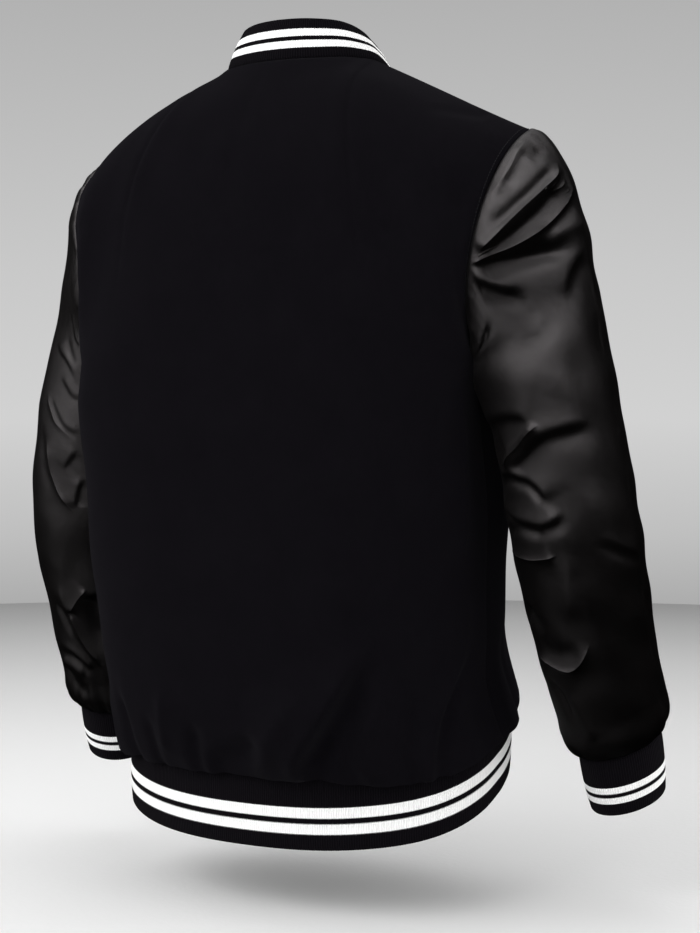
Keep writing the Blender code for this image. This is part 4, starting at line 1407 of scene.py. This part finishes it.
def add_world():
    """A soft grey wall of light behind and all round, which gives no reflections."""
    world = bpy.data.worlds.new("studio")
    world.use_nodes = True
    tree = world.node_tree
    background = tree.nodes["Background"]
    place = tree.nodes.new("ShaderNodeTexCoord")
    parts = tree.nodes.new("ShaderNodeSeparateXYZ")
    tree.links.new(place.outputs["Generated"], parts.inputs["Vector"])
    share = tree.nodes.new("ShaderNodeMapRange")
    low, high = WALL[0][0], WALL[-1][0]
    share.inputs["From Min"].default_value, share.inputs["From Max"].default_value = low, high
    tree.links.new(parts.outputs["Z"], share.inputs["Value"])
    ramp = tree.nodes.new("ShaderNodeValToRGB")
    tree.links.new(share.outputs["Result"], ramp.inputs["Fac"])
    stops = ramp.color_ramp.elements
    while len(stops) < len(WALL):
        stops.new(0.5)
    for stop, (height, _) in zip(stops, WALL):
        stop.position = (height - low) / (high - low)
    for stop, (_, brightness) in zip(sorted(stops, key=lambda stop: stop.position), WALL):
        stop.color = (brightness, brightness, brightness, 1.0)
    tree.links.new(ramp.outputs["Color"], background.inputs["Color"])
    world.cycles_visibility.glossy = False
    bpy.context.scene.world = world


# ---------------- build

def make_pieces():
    """Every piece of cloth, its normals shared along the seams, with its creases on it."""
    back = back_grid()
    left_front = front_grid(1)
    right_front = under_lap(front_grid(-1))
    left_sleeve = left_sleeve_grid(back, left_front)
    right_sleeve = (left_sleeve * MIRROR)[:, ::-1]
    back, left_front, left_sleeve = draw_in(back), draw_in(left_front), draw_in(left_sleeve)
    left_cuff = left_cuff_grid(left_sleeve)
    right_cuff = (left_cuff * MIRROR)[:, ::-1]
    hem_rib = hem_rib_grid(right_front, back, left_front)
    collar = collar_grid(right_front, back, left_front)
    lap = math.pi + np.linspace(0, LAP, DETAIL // 2 + 1)[1:] / GIRTH["body"] * 2 * math.pi
    front_degrees = np.degrees(np.append(front_angles(DETAIL), lap))
    sleeve_degrees = np.linspace(0, 360, left_sleeve.shape[1])
    hem_degrees = np.linspace(-180, 180, hem_rib.shape[1])
    collar_degrees = np.linspace(-180, 180, collar.shape[1])
    tube = {"closed": True}
    cuff = {"closed": True, "free": ("bottom",)}
    pieces = {piece.name: piece for piece in [
        Piece("back", back, np.degrees(back_angles(DETAIL)), "wool", BODY_WALL),
        Piece("front_left", left_front, front_degrees, "wool", BODY_WALL, free=("end",)),
        Piece("front_right", right_front, -front_degrees[::-1], "wool", BODY_WALL, free=("start",)),
        Piece("sleeve_left", left_sleeve, sleeve_degrees[::-1], "satin", SLEEVE_WALL, **tube),
        Piece("sleeve_right", right_sleeve, sleeve_degrees, "satin", SLEEVE_WALL, **tube),
        Piece("cuff_left", left_cuff, sleeve_degrees[::-1], "knit", RIB_WALL, **cuff),
        Piece("cuff_right", right_cuff, sleeve_degrees, "knit", RIB_WALL, **cuff),
        Piece("collar", collar, collar_degrees, "knit", RIB_WALL, free=("top", "start", "end")),
        Piece("hem_rib", hem_rib, hem_degrees, "knit", RIB_WALL, free=("bottom", "start", "end")),
    ]}
    share_seam_normals(list(pieces.values()))
    creases = all_creases()
    for seed, (name, piece) in enumerate(pieces.items()):
        piece.crease(creases.get(name, ()))
        if piece.cloth == "wool":
            piece.droop(HEM_DROOP)
        for cloth, side, puff_reach, puff_rise, reach, rise, spacing, shift in GATHERS:
            if piece.cloth == cloth:
                piece.gather(side, puff_reach, puff_rise, reach, rise, spacing, seed + shift)
        if piece.cloth in UNDULATION:
            piece.undulate(*UNDULATION[piece.cloth], seed + UNDULATION_SEED)
        piece.dip()
    return pieces


def add_cloth(pieces):
    finishes = {
        "wool": (wool_material(), "body_wool"),
        "satin": (satin_material(), "sleeve_cloth"),
    }
    knits = {part: knit_material(part) for part in STRIPES}
    for name, piece in pieces.items():
        material, slot = finishes.get(piece.cloth) or (knits[name.split("_")[0]], "rib_knit")
        shown = show("cloth_" + name, shell_mesh(piece), material, slot, name)
        width, length, area, held = CUTS[name]


def add_stitching(pieces):
    """Topstitching on the body side of the armholes, and down both sides of the left front's edge."""
    upper = slice(LOWER_ROWS * DETAIL + 2, None)
    back, left, right = pieces["back"], pieces["front_left"], pieces["front_right"]
    rows = [
        line_beside(piece, side, ARMHOLE_STITCH_IN, upper)
        for piece, side in ((back, "start"), (back, "end"), (left, "start"), (right, "end"))
    ]
    placket = [line_beside(left, "end", away) for away in PLACKET_STITCH_IN]
    thread = thread_material()
    show("armhole_topstitch", stitches_mesh("armhole_topstitch", rows), thread, "body_wool")
    show("placket_topstitch", stitches_mesh("placket_topstitch", placket), thread, "body_wool")


def main():
    add_camera()
    pieces = make_pieces()
    add_cloth(pieces)
    add_stitching(pieces)
    add_snaps(pieces["front_left"], pieces["hem_rib"], snap_material())
    add_floor()
    add_world()
    add_softboxes()
    bpy.context.scene.view_settings.view_transform = "Standard"


main()
